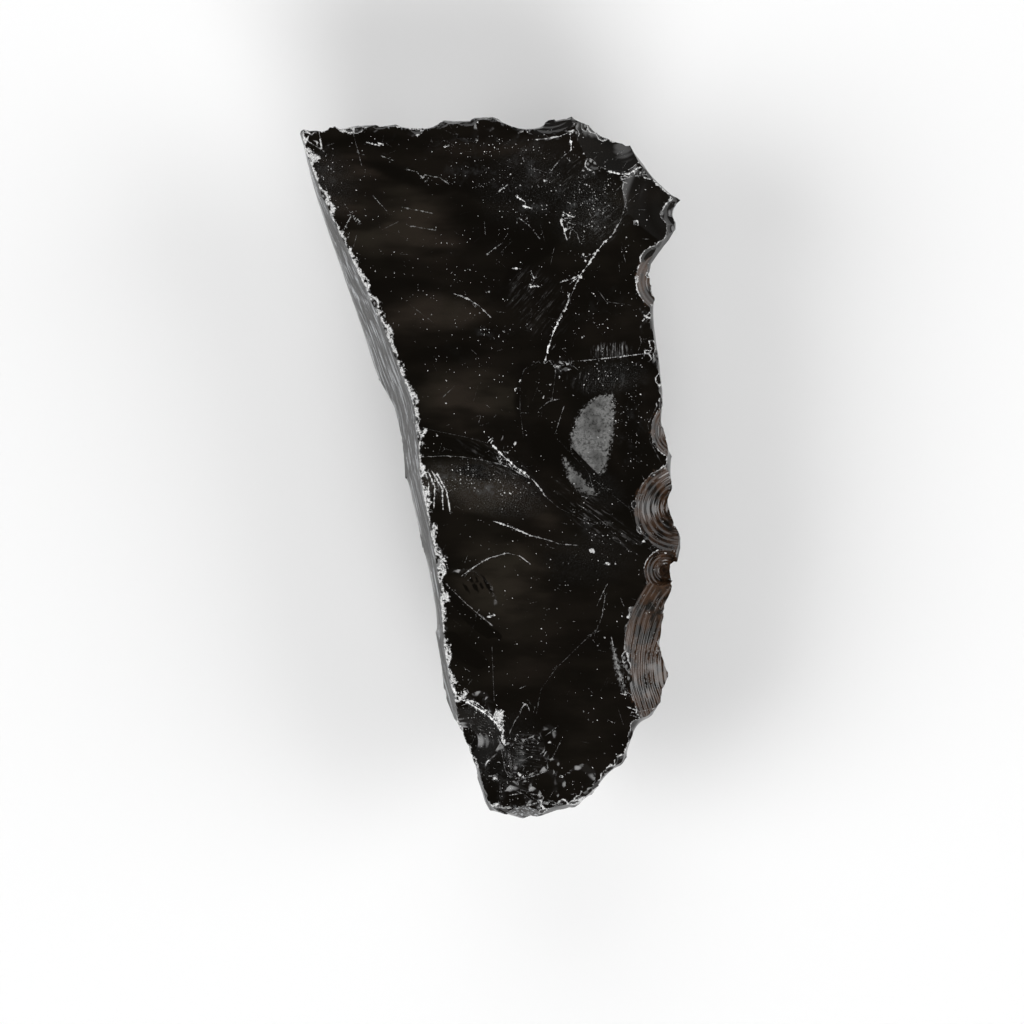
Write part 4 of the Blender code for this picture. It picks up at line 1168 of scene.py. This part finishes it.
def glass():
    material = bpy.data.materials.new("obsidian")
    material.use_nodes = True
    graph = Graph(material.node_tree)
    shader = material.node_tree.nodes["Principled BSDF"]
    place = graph.add("ShaderNodeTexCoord", {}, output="Object")
    coarse, rough, fine = (graph.noise(place, *noise) for noise in (COARSE, ROUGH, FINE))

    banded = graph.add("ShaderNodeMapping", {"Vector": place, "Scale": BANDS_DRAWN})
    bands = graph.step(graph.noise(banded, *BANDS_NOISE), *BANDS_STEP)
    brown = graph.blend(graph.step(coarse, *BROWN_STEP), OLIVE, UMBER)
    crisp = graph.step(graph.held("band_in"), *CRISP_EDGE)
    tone = graph.times(graph.times(graph.held("tone"), bands), graph.math("SUBTRACT", 1.0, crisp))
    lobe = graph.times(graph.step(graph.held("lobe_in"), *LOBE_FADE), LOBE_TONE)
    colour = graph.blend(graph.step(graph.most(tone, lobe), 0.0, 1.0), BLACK, brown)
    scar = graph.times(graph.held("scar"), graph.step(graph.noise(place, *SCAR_NOISE), *BROWN_STEP))
    colour = graph.blend(scar, colour, SCAR_BROWN)

    smudge = graph.step(graph.noise(place, *SMUDGE_NOISE), *SMUDGE_STEP)
    dust = graph.times(graph.times(graph.held("dust"), graph.held("dust")), smudge)
    colour = graph.blend(dust, colour, DUST_GREY)
    specked = graph.times(graph.held("grain"), graph.step(fine, *GRAIN_STEP))
    colour = graph.blend(graph.times(specked, GRAIN_SHARE), colour, DUST_GREY)
    mottle = graph.step(rough, *MOTTLE_STEP)
    # A painted reflection: grey painted into the colour inside its shapes, mottled, with a torn edge, and
    # left out of the black bands.
    torn = graph.math("ADD", graph.held("painted_reflection_in"), graph.step(rough, *TORN_STEP))
    reflection_mottle = graph.times(mottle, graph.math("SUBTRACT", 1.0, crisp))
    painted_reflection = graph.times(graph.step(torn, *TORN_EDGE), reflection_mottle)
    painted_reflection = graph.times(painted_reflection, graph.step(graph.noise(place, *PAINTED_REFLECTION_NOISE), *PAINTED_REFLECTION_STEP))
    colour = graph.blend(painted_reflection, colour, PAINTED_REFLECTION_GREY)

    turned = {"Vector": place, "Rotation": (0.0, 0.0, WALL_TURN), "Scale": WALL_DRAWN}
    along = graph.add("ShaderNodeMapping", turned, vector_type="TEXTURE")
    grooves = graph.noise(along, *GROOVE_NOISE)
    streak = graph.times(graph.step(grooves, *STREAK_STEP), graph.held("wall"))
    colour = graph.blend(streak, colour, WALL_GREY)

    lump = graph.noise(place, *LUMP_NOISE)
    width = graph.times(graph.step(rough, *CRUSH_STEP), graph.step(lump, *LUMP_STEP))
    width = graph.times(graph.times(width, graph.held("edge_power")), CRUSH_WIDTH)
    crush = graph.step(graph.math("SUBTRACT", width, graph.held("edge_off")), *CRUSH_EDGE)
    crush = graph.times(crush, graph.step(fine, *CRUSH_GRAIN))
    swell = graph.step(graph.noise(place, *SWELL_NOISE), *SWELL_STEP)
    mark_width = graph.times(swell, MARK_WIDTH)
    marks = line_share(graph, "mark", rough, fine, mark_width)
    marks = graph.most(marks, line_share(graph, "fan", rough, fine, MARK_WIDTH))
    scratches = graph.times(line_share(graph, "scratch", rough, fine, SCRATCH_WIDTH), SCRATCH_BRIGHT)
    lines = graph.most(graph.most(crush, marks), scratches)
    streaks = streak_share(graph, place)
    white = graph.most(graph.most(lines, streaks), speck_share(graph, place))
    colour = graph.blend(white, colour, CRUSHED)
    graph.put(shader.inputs["Base Color"], colour)

    smear = graph.step(graph.noise(place, *SMEAR_NOISE), *SMEAR_STEP)
    dull = graph.most(graph.times(white, WHITE_ROUGH), graph.times(dust, DUST_ROUGH))
    dull = graph.most(dull, graph.times(painted_reflection, PAINTED_REFLECTION_ROUGH))
    graph.put(shader.inputs["Roughness"], graph.most(smear, dull))
    shader.inputs["IOR"].default_value = GLASS_IOR
    relief = graph.math("ADD", graph.times(fine, white), graph.times(grooves, graph.held("wall")))
    bumps = {"Height": relief, "Strength": BUMP_STRENGTH, "Distance": CRUSH_BUMP * MM}
    graph.put(shader.inputs["Normal"], graph.add("ShaderNodeBump", bumps))
    return material


def streak_share(graph, place):
    """Fine parallel scratches: noise drawn out along each group's direction."""
    total = None
    broken = graph.step(graph.noise(place, *BROKEN_NOISE), *BROKEN_STEP)
    for name, (turn, bright, _) in STREAKS.items():
        turned = {"Vector": place, "Rotation": (0.0, 0.0, math.radians(turn)), "Scale": DRAWN_OUT}
        along = graph.add("ShaderNodeMapping", turned, vector_type="TEXTURE")
        fine = graph.step(graph.noise(along, *STREAK_NOISE), *STREAK_STEP)
        share = graph.times(graph.times(fine, graph.held(f"streak_{name}")), bright)
        total = share if total is None else graph.most(total, share)
    return graph.times(total, broken)


def speck_share(graph, place):
    """White dust specks: a dot in some of the cells of flat patterns on the front, and of one behind."""
    clumps = graph.step(graph.noise(place, *CLUMP_NOISE), *CLUMP_STEP)
    warp = (SPECK_WARP * MM, -SPECK_WARP * MM, 0.0)
    shift = {0: warp, 1: graph.noise(place, *SPECK_WARP_NOISE)}
    shift = graph.add("ShaderNodeVectorMath", shift, operation="MULTIPLY")
    place = graph.add("ShaderNodeVectorMath", {0: place, 1: shift}, operation="ADD")
    total = specks(graph, place, graph.times(graph.held("rear"), REAR_DUST), *REAR_SPECKS, "3D")
    for layer in SPECKS:
        crowd = graph.times(graph.held("dust"), clumps)
        total = graph.most(total, specks(graph, place, crowd, *layer, "2D"))
    return total


def specks(graph, place, crowd, cell, size, share, dimensions):
    inputs = {"Vector": place, "Scale": 1.0 / (cell * MM)}
    settings = {"voronoi_dimensions": dimensions}
    gap = graph.add("ShaderNodeTexVoronoi", inputs, output="Distance", **settings)
    lot = graph.add("ShaderNodeTexVoronoi", inputs, output="Color", **settings)
    pick, grow, shine = (graph.add("ShaderNodeSeparateColor", {"Color": lot}, output=k) for k in range(3))
    found = graph.math("LESS_THAN", pick, graph.times(crowd, share))
    edge = graph.times(graph.step(grow, *SPECK_SIZES), size / cell)
    dots = graph.times(found, graph.step(graph.math("SUBTRACT", edge, gap), *SPECK_EDGE))
    return graph.times(dots, graph.step(shine, *SPECK_SHINE))


# ---------------------------------------------------------------------------------------- stage
CAMERA_ABOVE, SENSOR_MM, IMAGE_PX, FRONT_Z = 650.0, 36.0, 1024, 36.0


def add_camera():
    """Straight above, so that a pixel is PIXEL_MM at the height of the front face."""
    data = bpy.data.cameras.new("camera")
    data.sensor_width = SENSOR_MM
    data.lens = SENSOR_MM * CAMERA_ABOVE / (IMAGE_PX * PIXEL_MM)
    camera = bpy.data.objects.new("camera", data)
    x, y = at(IMAGE_PX / 2, IMAGE_PX / 2)
    camera.location = Vector((x, y, FRONT_Z + CAMERA_ABOVE)) * MM
    bpy.context.scene.collection.objects.link(camera)
    bpy.context.scene.camera = camera


def add_floor():
    mesh = bpy.data.meshes.new("floor")
    bm = bmesh.new()
    bmesh.ops.create_circle(bm, cap_ends=True, segments=FLOOR_SIDES, radius=FLOOR_RADIUS)
    bm.to_mesh(mesh)
    bm.free()
    floor = bpy.data.objects.new("floor", mesh)
    bpy.context.scene.collection.objects.link(floor)
    material = bpy.data.materials.new("floor")
    material.use_nodes = True
    shader = material.node_tree.nodes["Principled BSDF"]
    shader.inputs["Base Color"].default_value = FLOOR_WHITE
    shader.inputs["Roughness"].default_value = FLOOR_ROUGH
    shader.inputs["Specular IOR Level"].default_value = 0.0
    mesh.materials.append(material)


FLOOR_RADIUS, FLOOR_SIDES = 4.0, 96  # in metres, which bmesh works in
FLOOR_WHITE, FLOOR_ROUGH = (0.87, 0.87, 0.87, 1.0), 0.9
SKY, ZENITH = 0.17, 0.030  # how bright the room is round the sides and straight overhead
ZENITH_FROM, ZENITH_FULL = 0.74, 0.93  # of the sine of the height above the horizon
# Soft round cards in the room: turn from +X and height in degrees, the angle from the middle at
# which the light starts to fade and at which it ends, and how bright.
CARDS = {
    "right": (2, 29, 8, 26, 4.2),
    "top": (98, 32, 8, 25, 1.6),
    "left": (188, 36, 8, 25, 5.6),
    "low": (282, 36, 8, 25, 6.6),
}


def light_room():
    """A grey room that is dark overhead, as the black faces show, with soft bright cards round it."""
    world = bpy.data.worlds.new("room")
    bpy.context.scene.world = world
    world.use_nodes = True
    graph = Graph(world.node_tree)
    way = graph.add("ShaderNodeTexCoord", {}, output="Generated")
    height = graph.add("ShaderNodeSeparateXYZ", {"Vector": way}, output="Z")
    total = graph.step(height, ZENITH_FROM, ZENITH_FULL, SKY, ZENITH)
    for turn, rise, full, end, bright in CARDS.values():
        turn, rise = math.radians(turn), math.radians(rise)
        middle = (math.cos(turn) * math.cos(rise), math.sin(turn) * math.cos(rise), math.sin(rise))
        near = graph.add("ShaderNodeVectorMath", {0: way, 1: middle}, output="Value", operation="DOT_PRODUCT")
        span = math.cos(math.radians(end)), math.cos(math.radians(full))
        total = graph.math("ADD", total, graph.step(near, *span, 0.0, bright))
    graph.put(world.node_tree.nodes["Background"].inputs["Color"], (1.0, 1.0, 1.0, 1.0))
    graph.put(world.node_tree.nodes["Background"].inputs["Strength"], total)


chunk = make_chunk()
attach(chunk, "root")
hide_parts(NODE)
add_camera()
add_floor()
light_room()
bpy.context.scene.view_settings.view_transform = "Standard"
